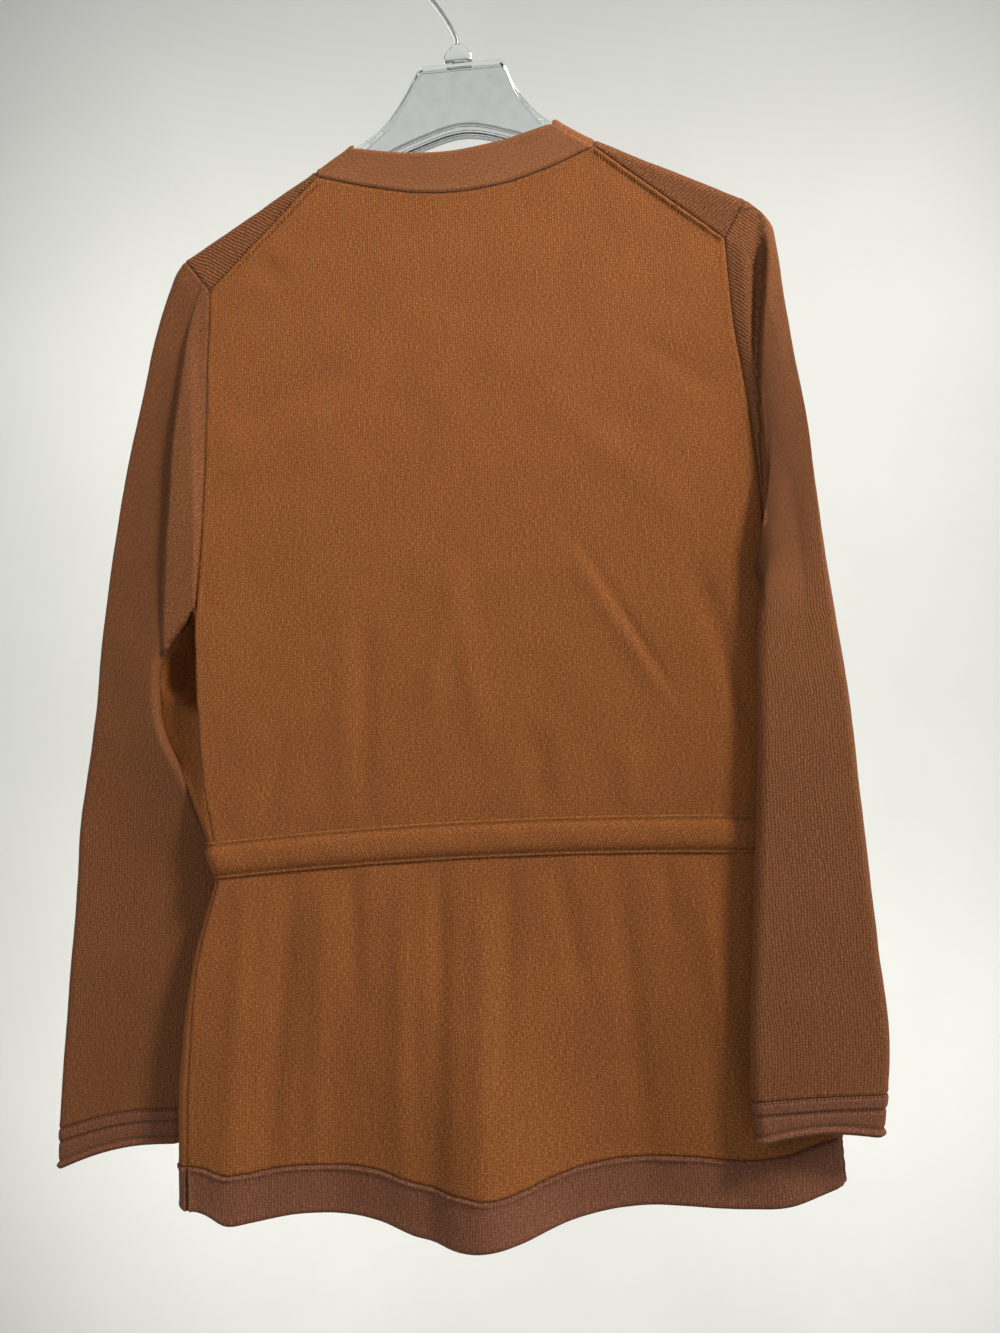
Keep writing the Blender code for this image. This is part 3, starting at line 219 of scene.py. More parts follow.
class Graph:
    """The nodes of one new material, with a short method for each common kind."""

    def __init__(self, name: str) -> None:
        """Start the material without nodes.

        Args:
            name: The material's name.
        """
        self.material = bpy.data.materials.new(name)
        self.material.use_nodes = True
        self.tree = self.material.node_tree
        self.tree.nodes.clear()

    def place(self) -> Socket:
        """A point's place in its object, in metres."""
        return add_node(self.tree, "ShaderNodeTexCoord").outputs["Object"]

    def math(self, operation: str, *values: float | Socket) -> Socket:
        """The result of an operation on one to three values."""
        inputs = dict(enumerate(values))
        return add_node(self.tree, "ShaderNodeMath", inputs, operation=operation).outputs[0]

    def noise(self, place: Socket, scale: float, detail: float, roughness: float = 0.5,
              flat: bool = False) -> bpy.types.Node:
        """Noise in space, or on the flat knit.

        Args:
            place: The place, in metres, or in millimetres on the knit.
            scale: How many grains there are in a unit of length.
            detail: Layers of finer grain.
            roughness: How strong the finer layers are.
            flat: True on the flat knit.

        Returns:
            The noise node.
        """
        inputs = {"Vector": place, "Scale": scale, "Detail": detail, "Roughness": roughness}
        return add_node(self.tree, "ShaderNodeTexNoise", inputs,
                        noise_dimensions="2D" if flat else "3D")

    def ramp(self, value: Socket, start: float, end: float, low: float = 0.0,
             high: float = 1.0, kind: str = "LINEAR") -> Socket:
        """A value that goes from low to high while another goes from start to end.

        Args:
            value: The value that drives it.
            start: Where the result is low.
            end: Where it is high.
            low: The result at the start.
            high: The result at the end.
            kind: LINEAR, or SMOOTHSTEP for soft ends.

        Returns:
            The result.
        """
        inputs = {"Value": value, "From Min": start, "From Max": end,
                  "To Min": low, "To Max": high}
        node = add_node(self.tree, "ShaderNodeMapRange", inputs, interpolation_type=kind)
        return node.outputs["Result"]

    def blend(self, share: Socket, first: str | Socket, second: str) -> Socket:
        """A mix of two colours by a share.

        Args:
            share: Share of the second colour.
            first: A hex colour or an output.
            second: A hex colour.

        Returns:
            The mixed colour.
        """
        start = linear_rgb(first) if isinstance(first, str) else first
        inputs = {"Factor": share, MIX_A: start, MIX_B: linear_rgb(second)}
        return add_node(self.tree, "ShaderNodeMix", inputs, data_type="RGBA").outputs[MIX_OUT]

    def dim(self, color: Socket, level: Socket) -> Socket:
        """A colour made darker by a level."""
        node = add_node(self.tree, "ShaderNodeVectorMath", {0: color, "Scale": level},
                        operation="SCALE")
        return node.outputs["Vector"]

    def bump(self, height: Socket, distance: float, strength: float = 1.0) -> Socket:
        """The direction of a surface with fine relief, from its height in millimetres."""
        inputs = {"Strength": strength, "Distance": distance * MM, "Height": height}
        return add_node(self.tree, "ShaderNodeBump", inputs).outputs["Normal"]

    def surface(self, inputs: dict) -> bpy.types.Material:
        """End the material with its shader, from the shader's inputs.

        Args:
            inputs: Values and outputs by the name of the input.

        Returns:
            The finished material.
        """
        shader = add_node(self.tree, "ShaderNodeBsdfPrincipled", inputs)
        add_node(self.tree, "ShaderNodeOutputMaterial", {"Surface": shader.outputs["BSDF"]})
        return self.material


@dataclass(frozen=True)
class KnitFinish:
    """Heathered viscose and nylon yarn, knitted on a fine machine gauge.

    The wales show as faint upright lines, with painted shade between them, and the
    mixed fibres as short lighter and darker dashes along the courses. The surface is
    matt with a soft fuzz. Lengths are in millimetres.
    """

    name: str
    yarn: str
    shade: str
    fleck: str
    # The real wales are about 1.5 mm apart, which is under two pixels of the render,
    # so they are drawn a little wider.
    wale: float = 1.9
    course: float = 1.7
    relief: float = 0.14
    # Painted shade between the wales: how much darker the colour is there
    valley: float = 0.06         # how much darker it is between two wales
    mottle: float = 0.8          # how strongly the mixed fibres show
    wander: float = 2.4          # how far the wales wander from straight lines
    lean: float = 2.2            # how far a loop leans from its wale's middle, in radians
    loop_height: float = 0.18    # beside the wale's height of 1
    fuzz_height: float = 1.3
    fuzz_scale: float = 0.9
    dash_scale: tuple[float, float, float] = (0.48, 1.05, 1.0)
    cloud: float = 0.03          # how much the tone changes over some 50 mm
    # The real dashes are 1.8 to 3.2 mm apart, so the closest are drawn a little wider.
    stitch: float = 2.4
    slant: float = 0.1           # the rows slant, so they are wider apart on one shoulder
    # Painted shade in the stitch holes: how much darker the colour is there
    stitch_depth: float = 0.6
    stitch_sink: float = 2.5
    stitch_reach: tuple[float, float] = (1.3, 0.6)     # from its edge to its middle
    roughness: float = 0.92

    def make(self) -> bpy.types.Material:
        """Build the material.

        Returns:
            The material, which reads the "knit" map, whose unit is 1 mm.
        """
        graph = Graph(self.name)
        place = add_node(graph.tree, "ShaderNodeUVMap", uv_map="knit").outputs["UV"]
        height, valley = self.loops(graph, place)
        color = self.color(graph, place, valley)
        color, height = self.sewing(graph, place, color, height)
        return graph.surface({
            "Base Color": color, "Roughness": self.roughness, "Specular IOR Level": 0.2,
            "Sheen Weight": 0.12, "Sheen Roughness": 0.5, "Sheen Tint": linear_rgb(self.fleck),
            "Normal": graph.bump(height, self.relief)})

    def loops(self, graph: Graph, place: Socket) -> tuple[Socket, Socket]:
        """The loops of the knit.

        Args:
            graph: The material's nodes.
            place: The place on the cloth, in millimetres.

        Returns:
            The height of the surface, and how deep it lies between two wales, which sets the
            painted shade there.
        """
        drift = graph.noise(place, 0.06, 1.0, flat=True).outputs["Color"]
        moved = add_node(graph.tree, "ShaderNodeVectorMath", {
            0: drift, 1: (self.wander, self.wander, 0.0), 2: place}, operation="MULTIPLY_ADD")
        axes = add_node(graph.tree, "ShaderNodeSeparateXYZ", {"Vector": moved.outputs["Vector"]})
        wave = graph.math("COSINE", graph.math("MULTIPLY", axes.outputs["X"],
                                               math.tau / self.wale))
        ridge = graph.math("MULTIPLY_ADD", wave, 0.5, 0.5)
        # Each loop leans from the middle of its wale, which gives the chevrons
        lean = graph.math("MULTIPLY", ridge, self.lean)
        down = graph.math("MULTIPLY_ADD", axes.outputs["Y"], math.tau / self.course, lean)
        loops = graph.math("MULTIPLY_ADD", graph.math("SINE", down), self.loop_height, ridge)
        fibre = graph.noise(place, self.fuzz_scale, 3.0, 0.65, flat=True).outputs["Fac"]
        height = graph.math("MULTIPLY_ADD", fibre, self.fuzz_height, loops)
        return height, graph.math("SUBTRACT", 1.0, ridge)

    def color(self, graph: Graph, place: Socket, valley: Socket) -> Socket:
        """The mixed fibres' colours, with painted shade between the wales.

        Args:
            graph: The material's nodes.
            place: The place on the cloth, in millimetres.
            valley: How deep a point lies between two wales.

        Returns:
            The colour.
        """
        along = add_node(graph.tree, "ShaderNodeMapping", {
            "Vector": place, "Scale": self.dash_scale}).outputs["Vector"]
        heather = graph.noise(along, 1.0, 4.0, 0.7, flat=True).outputs["Fac"]
        dark = graph.ramp(heather, 0.54, 0.34, 0.0, self.mottle)
        light = graph.ramp(heather, 0.56, 0.72, 0.0, self.mottle)
        fibres = graph.blend(light, graph.blend(dark, self.yarn, self.shade), self.fleck)
        broad = graph.noise(place, 0.02, 2.0, flat=True).outputs["Fac"]
        level = graph.ramp(broad, 0.3, 0.7, 1.0 - self.cloud, 1.0 + self.cloud)
        # Painted shade: the colour is darker between the wales, where the knit's hollows lie in
        # shade
        return graph.dim(fibres, graph.math("MULTIPLY_ADD", valley, -self.valley, level))

    def sewing(self, graph: Graph, place: Socket, color: Socket,
               height: Socket) -> tuple[Socket, Socket]:
        """The rows of linking stitches with painted shade in their holes, and the painted shade in
        a seam.

        Args:
            graph: The material's nodes.
            place: The place on the cloth, in millimetres.
            color: The yarn's colour.
            height: The knit's height.

        Returns:
            The colour and the height with the stitches in them.
        """
        row, seam = (add_node(graph.tree, "ShaderNodeAttribute", attribute_name=name)
                     .outputs["Fac"] for name in ("stitch_row", "seam_shade"))
        axes = add_node(graph.tree, "ShaderNodeSeparateXYZ", {"Vector": place})
        slant = graph.math("MULTIPLY_ADD", axes.outputs["Y"], self.slant, axes.outputs["X"])
        wave = graph.math("SINE", graph.math("MULTIPLY", slant, math.tau / self.stitch))
        dash = graph.ramp(wave, -0.25, 0.35, kind="SMOOTHSTEP")
        near = graph.ramp(row, *self.stitch_reach, kind="SMOOTHSTEP")
        hole = graph.math("MULTIPLY", dash, near)
        # Painted shade: the colour is darker in the sunk stitch holes
        kept = graph.math("MULTIPLY_ADD", hole, -self.stitch_depth, 1.0)
        # Painted shade: the colour is darker along the seams' grooves
        level = graph.math("MULTIPLY", kept, graph.math("SUBTRACT", 1.0, seam))
        return (graph.dim(color, level),
                graph.math("MULTIPLY_ADD", hole, -self.stitch_sink, height))


@dataclass(frozen=True)
class ClearStyreneFinish:
    """Crystal polystyrene, injection-moulded: clear, glossy, a little scuffed.

    Its edges and raised rims catch light as grey and white lines.
    """

    name: str = "clear_moulded_polystyrene"
    tint: str = "#eef1f0"
    scuff: str = "#d3d8d8"
    roughness: float = 0.04
    scuffed: float = 2.5         # how many times rougher a scuff is
    ior: float = 1.59
    scuff_size: float = 9.0      # millimetres
    scuff_depth: float = 0.2

    def make(self) -> bpy.types.Material:
        """Build the material.

        Returns:
            The material.
        """
        graph = Graph(self.name)
        cloud = graph.noise(graph.place(), 1.0 / (self.scuff_size * MM), 3.0).outputs["Fac"]
        return graph.surface({
            "Base Color": graph.blend(cloud, self.tint, self.scuff),
            "Roughness": graph.ramp(cloud, 0.0, 1.0, self.roughness,
                                    self.roughness * self.scuffed),
            "IOR": self.ior, "Transmission Weight": 1.0,
            "Normal": graph.bump(cloud, self.scuff_depth, 0.5)})


@dataclass(frozen=True)
class PlatedWireFinish:
    """Zinc-plated steel wire, drawn: grey, half bright, with fine lines along it."""

    name: str = "zinc_plated_drawn_steel"
    metal: str = "#a9abab"
    dull: str = "#7d8080"
    roughness: float = 0.26
    dulled: float = 0.16         # added to the roughness where it is dull
    line: float = 0.6            # millimetres

    def make(self) -> bpy.types.Material:
        """Build the material.

        Returns:
            The material.
        """
        graph = Graph(self.name)
        place = graph.place()
        fine = graph.noise(place, 1.0 / (self.line * MM), 2.0).outputs["Fac"]
        broad = graph.noise(place, 0.1 / (self.line * MM), 2.0).outputs["Fac"]
        return graph.surface({
            "Base Color": graph.blend(broad, self.metal, self.dull), "Metallic": 1.0,
            "Roughness": graph.ramp(fine, 0.0, 1.0, self.roughness,
                                    self.roughness + self.dulled)})


@dataclass(frozen=True)
class PaintedBoardFinish:
    """Matt emulsion on smooth board, rolled: a pale even ground."""

    name: str = "rolled_matt_emulsion"
    paint: str = "#e8e8e4"
    dust: str = "#dededa"
    roughness: float = 0.9
    roller: float = 5.0          # millimetres
    grain_depth: float = 0.3

    def make(self) -> bpy.types.Material:
        """Build the material.

        Returns:
            The material.
        """
        graph = Graph(self.name)
        place = graph.place()
        broad = graph.noise(place, 1.3, 3.0).outputs["Fac"]
        grain = graph.noise(place, 1.0 / (self.roller * MM), 2.0).outputs["Fac"]
        return graph.surface({
            "Base Color": graph.blend(broad, self.paint, self.dust),
            "Roughness": self.roughness, "Normal": graph.bump(grain, self.grain_depth, 0.3)})


# ---------------------------------------------------------------- form of the garment

@dataclass
class Ridge:
    """The line of the shoulders over the hanger, and the cloth's round over it."""

    line: Rows = ((-205, -198), (-100.5, -144.5), (-75, -127.5), (-40, -106), (0, -96), (38, -109),
                  (72, -133), (100, -150.5), (199.5, -208.5))
    radius: float = 8.0
    lean: float = 0.87           # cosine of the shoulder slope

    def __post_init__(self) -> None:
        """Prepare the line."""
        self.curve = Curve(self.line, straight=True)
        self.quarter = math.pi * self.radius / 2.0

    def round_at(self, x: float, z: float) -> float:
        """1 on the flat of the cloth, falling to 0 at the ridge.

        Args:
            x: Where across.
            z: Where up.

        Returns:
            The share of the full thickness.
        """
        below = (self.curve.at(x) - z) * self.lean
        if below >= self.radius:
            return 1.0
        return math.sqrt(max(1.0 - (1.0 - max(below, 0.0) / self.radius) ** 2, 0.0))

    def reach_of(self, x: float, z: float) -> float:
        """Distance along the cloth from the ridge down to a height.

        Args:
            x: Where across.
            z: Where up.

        Returns:
            The distance in millimetres.
        """
        drop = (self.curve.at(x) - z) * self.lean
        if drop < self.radius:
            return self.radius * math.acos(1.0 - drop / self.radius)
        return self.quarter + drop - self.radius

    def height_at(self, x: float, reach: float) -> float:
        """Height of the cloth at a distance from the ridge.

        Args:
            x: Where across.
            reach: Distance along the cloth from the ridge.

        Returns:
            The height.
        """
        far = abs(reach)
        drop = self.radius + far - self.quarter
        if far < self.quarter:
            drop = self.radius * (1.0 - math.cos(far / self.radius))
        return self.curve.at(x) - drop / self.lean


@dataclass
class SideForm:
    """One side of the garment: its armhole, side fold and sleeve edges."""

    hand: Hand
    arm: Rows                    # armhole seam: z, x
    body: Rows                   # z, fold x, seam inset, fold y, radius, flap share
    outer: Rows                  # sleeve's outer edge: z, x, back y, front y
    inner: Rows                  # sleeve's inner edge: z, x, back y, front y
    pair: Rows                   # share of the sleeve's length, outer z, inner z
    arch: Rows                   # share of the length, rise of the middle
    strip: Rows                  # strip of cap by the armhole: z, ridge x, ridge y
    tip_x: float
    neck: tuple[float, float]

    def __post_init__(self) -> None:
        """Prepare the curves."""
        self.sign = self.hand.value
        self.name = self.hand.name.lower()
        self.arm_curve = Curve(self.arm)
        self.body_curve = Curve(self.body)
        self.outer_curve = Curve(self.outer)
        self.inner_curve = Curve(self.inner)
        self.pair_curve = Curve(self.pair)
        self.arch_curve = Curve(self.arch, straight=True)
        self.strip_curve = Curve(self.strip)
        self.corner_z, self.corner_x = max(self.arm)
        self.underarm = min(self.arm)[0]


LEFT_SIDE = SideForm(
    hand=Hand.LEFT,
    arm=((-458, 198), (-411, 191.5), (-361, 187), (-319, 184), (-278, 181.5), (-256, 179.5),
         (-233, 178)),
    body=((-458, 201, 3, 0, 5.5, 0), (-475, 217, 17.5, -7, 5, 0.7),
          (-495, 234, 34, -9.5, 4.5, 1), (-515, 238, 37.5, -10, 4.5, 1),
          (-540, 235, 35, -9, 4.5, 1), (-565, 225, 25.5, -7, 4.5, 1),
          (-590, 213.5, 15.5, -4, 5.5, 0.6), (-612, 205, 10, -1, 7, 0.2),
          (-627, 200, 6.5, 0, 7.5, 0), (-648, 196, 4, 0, 7.5, 0), (-672, 203, 4, 0, 7.5, 0),
          (-706, 214, 5.5, 0, 8, 0), (-768, 225.5, 9, 0, 8, 0), (-848, 231, 9.5, 1, 8, 0),
          (-890, 231.5, 9, 1, 8, 0)),
    outer=((-208.5, 199.5, 8, -8), (-216, 205.5, 8, -9), (-228, 211.5, 7, -10),
           (-244, 218, 6, -11), (-271, 226.3, 5, -12), (-301, 234.2, 4, -13.5),
           (-353, 248.6, 3, -15), (-404, 260, 2, -17), (-440, 268, 1, -19),
           (-480, 275.5, 0, -21), (-541, 285, -2, -23), (-600, 298.5, -6, -25),
           (-668, 307.4, -9, -26), (-748, 318.4, -11, -27), (-829, 327.5, -12, -27),
           (-858, 329.5, -12, -27)),
    inner=((-458, 198, 12, -12), (-470, 208, 12.5, -6), (-483, 218.8, 12.5, -2),
           (-496, 226.4, 12, -1), (-516, 230, 11, -2), (-544, 228, 9, -3.5),
           (-581, 214.5, 4, -9), (-606, 206.5, -3, -15.5), (-640, 196.5, -12, -24),
           (-680, 203, -14.5, -27), (-720, 213, -15, -28), (-760, 221, -15, -28),
           (-795, 228, -15, -28), (-817, 234, -14, -27), (-842, 236.5, -14, -27)),
    pair=((0, -208.5, -458), (0.1, -262, -463), (0.22, -345, -473), (0.34, -425, -491),
          (0.46, -500, -530), (0.58, -570, -582), (0.7, -645, -645), (0.85, -737, -733),
          (1, -829, -817), (1.05, -858, -842)),
    arch=((0, 0), (0.85, 0), (1, 5), (1.05, 6.5)),
    strip=((-225, 183, 9.5), (-265, 196.5, 12), (-300, 202.4, 14), (-334, 208.2, 15),
           (-381, 213.8, 15.5), (-444, 220.1, 15), (-498, 224.6, 13), (-520, 228, 11)),
    tip_x=199.5,
    neck=(97.0, -156.5),
)

RIGHT_SIDE = SideForm(
    hand=Hand.RIGHT,
    arm=((-458, -200.5), (-396, -198), (-355, -195.5), (-327, -192.5), (-292, -188.5),
         (-226, -186)),
    body=((-458, 203, 2.5, 0, 6.5, 0), (-472, 205.5, 9, -2, 5.5, 0.5),
          (-490, 209, 16, -6, 4.5, 1), (-520, 210, 18, -7, 4.5, 1), (-560, 207, 17, -7, 4.5, 1),
          (-590, 201.5, 9, -4, 5.5, 0.6), (-612, 197, 3.5, 0, 7, 0),
          (-627, 193.5, 2.5, 0, 7.5, 0), (-648, 193.5, 2.5, 0, 7.5, 0),
          (-672, 202, 2.5, 0, 7.5, 0), (-706, 213, 2.5, 0, 8, 0), (-768, 223, 2.5, 0, 8, 0),
          (-848, 226, 2.5, 0, 8, 0), (-890, 226.5, 2.5, 0, 8, 0)),
    outer=((-198, -205, 8, -8), (-206, -213.5, 9, -8), (-218, -221, 10.5, -8),
           (-232, -222.5, 12, -8), (-268, -224.6, 13.5, -8), (-300, -227.2, 14.5, -8),
           (-350, -232.5, 17, -7), (-400, -235.3, 19.5, -5), (-470, -240, 24, -1),
           (-540, -245.5, 28.5, 5), (-620, -248.5, 31, 11), (-703, -251.8, 32, 16),
           (-782, -254.3, 33, 18.5), (-804, -251.5, 33.5, 19), (-831.5, -246.5, 34, 19)),
    inner=((-458, -200.5, 12, -12), (-466, -204, 17, 3), (-478, -201, 21.5, 9.5),
           (-492, -195, 25.5, 14), (-508, -190.5, 27, 15.5), (-525, -188, 28, 16.5),
           (-545, -186, 29, 17), (-597, -181.7, 30, 17), (-655, -176, 31, 18),
           (-715, -170, 33, 19.5), (-775, -164.7, 34.5, 21.5), (-806, -163.8, 35, 22),
           (-834, -165, 35.5, 22.5)),
    pair=((0, -198, -458), (0.1, -262, -461), (0.22, -345, -466), (0.34, -425, -475),
          (0.44, -488, -493), (0.54, -540, -530), (0.64, -592, -582), (0.75, -655, -650),
          (0.88, -732, -733), (1, -804, -806), (1.05, -831.5, -834)),
    arch=((0, 0), (0.85, 0), (1, 1), (1.05, 5.5)),
    strip=((-215, -212, 9), (-252, -210, 9.5), (-287, -205, 10.5), (-325, -201, 11.5),
           (-365, -200, 12.5), (-399, -199.5, 13), (-440, -199, 13)),
    tip_x=-205.0,
    neck=(-100.0, -152.0),
)


@dataclass(frozen=True)
class Crease:
    """A soft trough or ridge in the cloth, which fades out at both ends."""

    start_x: float
    start_z: float
    end_x: float
    end_z: float
    width: float
    height: float                # below 0 for a trough
    past: float = 0.2            # share of its length by which it runs past its ends
    fade: float = 0.5            # share over which it fades in and out
    reach: float = 3.0           # how many widths from its line it is felt

    def at(self, x: float, z: float) -> float:
        """Its height at a place.

        Args:
            x: Where across.
            z: Where up.

        Returns:
            The height, below 0 for a trough.
        """
        run = (self.end_x - self.start_x, self.end_z - self.start_z)
        length = math.hypot(*run)
        gone = (x - self.start_x, z - self.start_z)
        along = (gone[0] * run[0] + gone[1] * run[1]) / length ** 2
        end = 1.0 + self.past
        if not -self.past < along < end:
            return 0.0
        across = (gone[0] * run[1] - gone[1] * run[0]) / length
        if abs(across) > self.reach * self.width:
            return 0.0
        fade = step((along + self.past) / self.fade) * step((end - along) / self.fade)
        return self.height * fade * math.exp(-(across / self.width) ** 2)


@dataclass
class TorsoForm:
    """Where the back and the fronts of the body lie at any place."""

    ridge: Ridge = field(default_factory=Ridge)
    # z, back y, front y
    depth: Rows = ((-140, 8, -8), (-180, 8.5, -8.5), (-230, 9.5, -9.5), (-300, 11, -11),
                   (-400, 12.5, -12), (-500, 12.5, -12.5), (-600, 11, -11.5), (-630, 10, -10.5),
                   (-650, 10.5, -11), (-720, 12, -13), (-800, 13, -14), (-890, 14, -15))
    # Long folds: top x, top z, bottom x, bottom z, width, height at the bottom
    back_folds: Rows = ((20, -655, 12, -890, 46, 29), (185, -665, 196, -890, 20, 5),
                        (112, -655, 118, -890, 28, -5), (-70, -655, -96, -890, 28, -4.5),
                        (-176, -680, -186, -890, 24, 5), (60, -650, 52, -840, 11, -3.5))
    front_folds: Rows = ((-110, -655, -120, -890, 30, -13), (100, -655, 112, -890, 30, -13),
                         (-60, -655, -62, -890, 20, 4), (58, -655, 60, -890, 20, 4))
    # Creases: start x and z, end x and z, width, height
    back_creases: Rows = ((-74, -432, -132, -538, 3.2, -1.5), (-70, -440, -126, -540, 7, 1.2),
                          (-152, -455, -182, -560, 9, -2.6), (13, -450, 38, -540, 8, 1.3),
                          (13, -450, 1, -570, 8, 1.2), (78, -480, 85, -606, 6, -1.2),
                          (92, -470, 99, -606, 9, 1.1), (-36, -560, -38, -612, 9, -1.8),
                          (132, -214, 134, -232, 11, -1.5), (92, -296, 162, -334, 9, -1.2),
                          (88, -320, 168, -368, 10, 1.2), (-120, -290, -172, -330, 9, -1),
                          (-60, -330, -150, -420, 13, 1), (140, -560, 158, -612, 7, -1.2),
                          (-100, -575, -96, -612, 7, 1.1), (138, -648, 168, -856, 9, -2.6),
                          (96, -646, 99, -740, 6, -1.8), (35, -650, 46, -862, 6, -3),
                          (-13, -650, -2, -800, 6, -1.6), (-87, -655, -95, -862, 8, -2.2),
                          (-45, -648, -58, -740, 7, -1.5), (172, -655, 192, -852, 8, 1.8),
                          (116, -652, 133, -860, 8, 1.6), (62, -655, 72, -862, 7, 1.8),
                          (8, -660, 16, -872, 7, 1.8), (-140, -660, -158, -830, 9, 2.2),
                          (-118, -648, -121, -700, 6, -1.4))
    front_creases: Rows = ((78, -470, 140, -600, 7, -1.6), (-80, -480, -150, -596, 8, -1.7),
                           (120, -330, 168, -430, 9, 1.5), (-118, -320, -172, -426, 10, 1.5),
                           (60, -520, 66, -608, 6, 1.4), (-62, -540, -60, -610, 6, 1.3),
                           (108, -560, 112, -612, 6, -1.5), (-112, -566, -118, -612, 6, -1.4),
                           (150, -650, 168, -800, 8, -2.2), (-150, -650, -168, -780, 8, -2),
                           (82, -648, 88, -740, 6, -1.8), (-84, -648, -92, -720, 6, -1.7),
                           (130, -655, 140, -840, 8, 1.8), (-132, -655, -142, -840, 8, 1.6))
    # Hem of the back, lower where a fold stands out: x, seam z, edge z
    hem_back: Rows = ((-226, -838, -869), (-208, -842, -875), (-187, -848, -880.5),
                      (-162, -851, -882.9), (-118, -848.4, -881.5), (-72, -848.6, -881.2),
                      (-42, -852.3, -884.3), (-12, -859.3, -889.8), (8, -862.8, -893),
                      (29, -861.5, -895), (60, -858.4, -893.4), (89, -850.8, -885.2),
                      (118, -848.4, -881.7), (145, -847.3, -880.1), (178, -850.6, -883.6),
                      (194, -850.9, -884.4), (210, -846.2, -877.2), (229, -845, -874.3))
    hem_front: tuple[float, float] = (-846.0, -877.0)
    casing_height: float = 26.0
    casing_line: tuple[float, float, float] = (-617.5, 6.0, 190.0)   # top, its fall, at x
    crease_clear: tuple[float, float] = (2.0, 12.0)    # creases fade next to the casing
    flap_level: float = 4.5      # how far the flap lies from the fold's middle
    flap_rise: float = 8.0       # length over which the back rises to the flap
    flap_lead: float = 30.0      # the same on the front
    fold_top: tuple[float, float] = (-400.0, 40.0)     # where the side fold begins
    # Hollow under the left arm: z, x of its outer rim
    hollow: Rows = ((-459, 201), (-478, 210.5), (-490, 219.5), (-501, 223), (-513, 222),
                    (-523, 216), (-538, 200))
    hollow_depth: float = 17.0
    hollow_wall: float = 6.0
    hollow_end: float = 9.0      # length over which its top and bottom grow shallow

    def __post_init__(self) -> None:
        """Prepare the curves."""
        self.depth_curve = Curve(self.depth)
        self.hem_curve = Curve(self.hem_back)
        self.hollow_curve = Curve(self.hollow)
        self.back_lines = [Crease(*row) for row in self.back_creases]
        self.front_lines = [Crease(*row) for row in self.front_creases]

    def hollow_at(self, x: float, z: float, seam_x: float) -> float:
        """Depth of the hollow under the left arm at a place.

        Args:
            x: Where across.
            z: Where up.
            seam_x: Distance of the side seam from the middle.

        Returns:
            The depth in millimetres.
        """
        top, bottom = self.hollow[0][0], self.hollow[-1][0]
        if x < seam_x or not bottom < z < top:
            return 0.0
        rim = self.hollow_curve.at(z)
        across = step((x - seam_x) / self.hollow_wall) * step((rim - x) / self.hollow_wall + 0.5)
        along = step((top - z) / self.hollow_end) * step((z - bottom) / self.hollow_end)
        return self.hollow_depth * across * along

    def side_row(self, x: float, z: float) -> list[float]:
        """Fold x, seam inset, fold y, radius and flap share of the nearer side."""
        curve = (LEFT_SIDE if x > 0 else RIGHT_SIDE).body_curve
        return [curve.at(z, column) for column in range(1, 6)]

    def fold_height(self, folds: Rows, x: float, z: float) -> float:
        """Sum of the long folds at a place.

        Args:
            folds: The folds' table.
            x: Where across.
            z: Where up.

        Returns:
            The height.
        """
        total = 0.0
        for top_x, top_z, bottom_x, bottom_z, width, height in folds:
            down = (z - top_z) / (bottom_z - top_z)
            if down <= 0.0:
                continue
            middle = mix(top_x, bottom_x, min(down, 1.0))
            grow = step(min(down, 1.0) * 0.5) * 2.0
            total += height * grow * math.exp(-((x - middle) / width) ** 2)
        return total

    def crease_height(self, creases: Sequence[Crease], x: float, z: float) -> float:
        """Sum of the creases at a place, none under the casing.

        Args:
            creases: The creases.
            x: Where across.
            z: Where up.

        Returns:
            The height.
        """
        total = sum(crease.at(x, z) for crease in creases)
        top = self.casing_top(x)
        clear = max(z - top, top - self.casing_height - z)
        past, fade = self.crease_clear
        return total * step((clear + past) / fade)

    def surface_y(self, x: float, z: float, back: bool) -> float:
        """The outer surface of the back or of the fronts.

        Args:
            x: Where across.
            z: Where up.
            back: True for the back.

        Returns:
            The y of the surface.
        """
        sign, folds, creases = 1.0, self.back_folds, self.back_lines
        if not back:
            sign, folds, creases = -1.0, self.front_folds, self.front_lines
        base = self.depth_curve.at(z, 1 if back else 2) + self.fold_height(folds, x, z)
        base += sign * self.crease_height(creases, x, z)
        base *= self.ridge.round_at(x, z)
        fold_x, inset, fold_y, radius, flap = self.side_row(x, z)
        inner = fold_x - radius
        share = (abs(x) - (fold_x - inset)) / self.flap_rise
        if not back:
            share = (abs(x) - inner + self.flap_lead) / self.flap_lead
        level = mix(base, fold_y + sign * self.flap_level, flap * step(share))
        level -= self.hollow_at(x, z, fold_x - inset)
        if abs(x) <= inner:
            return level
        top, fade = self.fold_top
        reach = min((abs(x) - inner) / radius, 1.0) * step((top - z) / fade)
        return fold_y + (level - fold_y) * math.sqrt(1.0 - reach * reach)

    def back_y(self, x: float, z: float) -> float:
        """The outer back surface."""
        return self.surface_y(x, z, True)

    def front_y(self, x: float, z: float) -> float:
        """The outer front surface."""
        return self.surface_y(x, z, False)

    def over_ridge(self, x: float, reach: float) -> np.ndarray:
        """A point by its x and its distance from the ridge, above 0 on the back.

        Args:
            x: Where across.
            reach: Distance along the cloth from the ridge.

        Returns:
            The point.
        """
        z = self.ridge.height_at(x, reach)
        y = self.back_y(x, z) if reach > 0 else self.front_y(x, z)
        return np.array([x, y, z])

    def casing_top(self, x: float) -> float:
        """Height of the upper edge of the waist casing."""
        top, fall, side_x = self.casing_line
        return top - fall * (x / side_x) ** 2

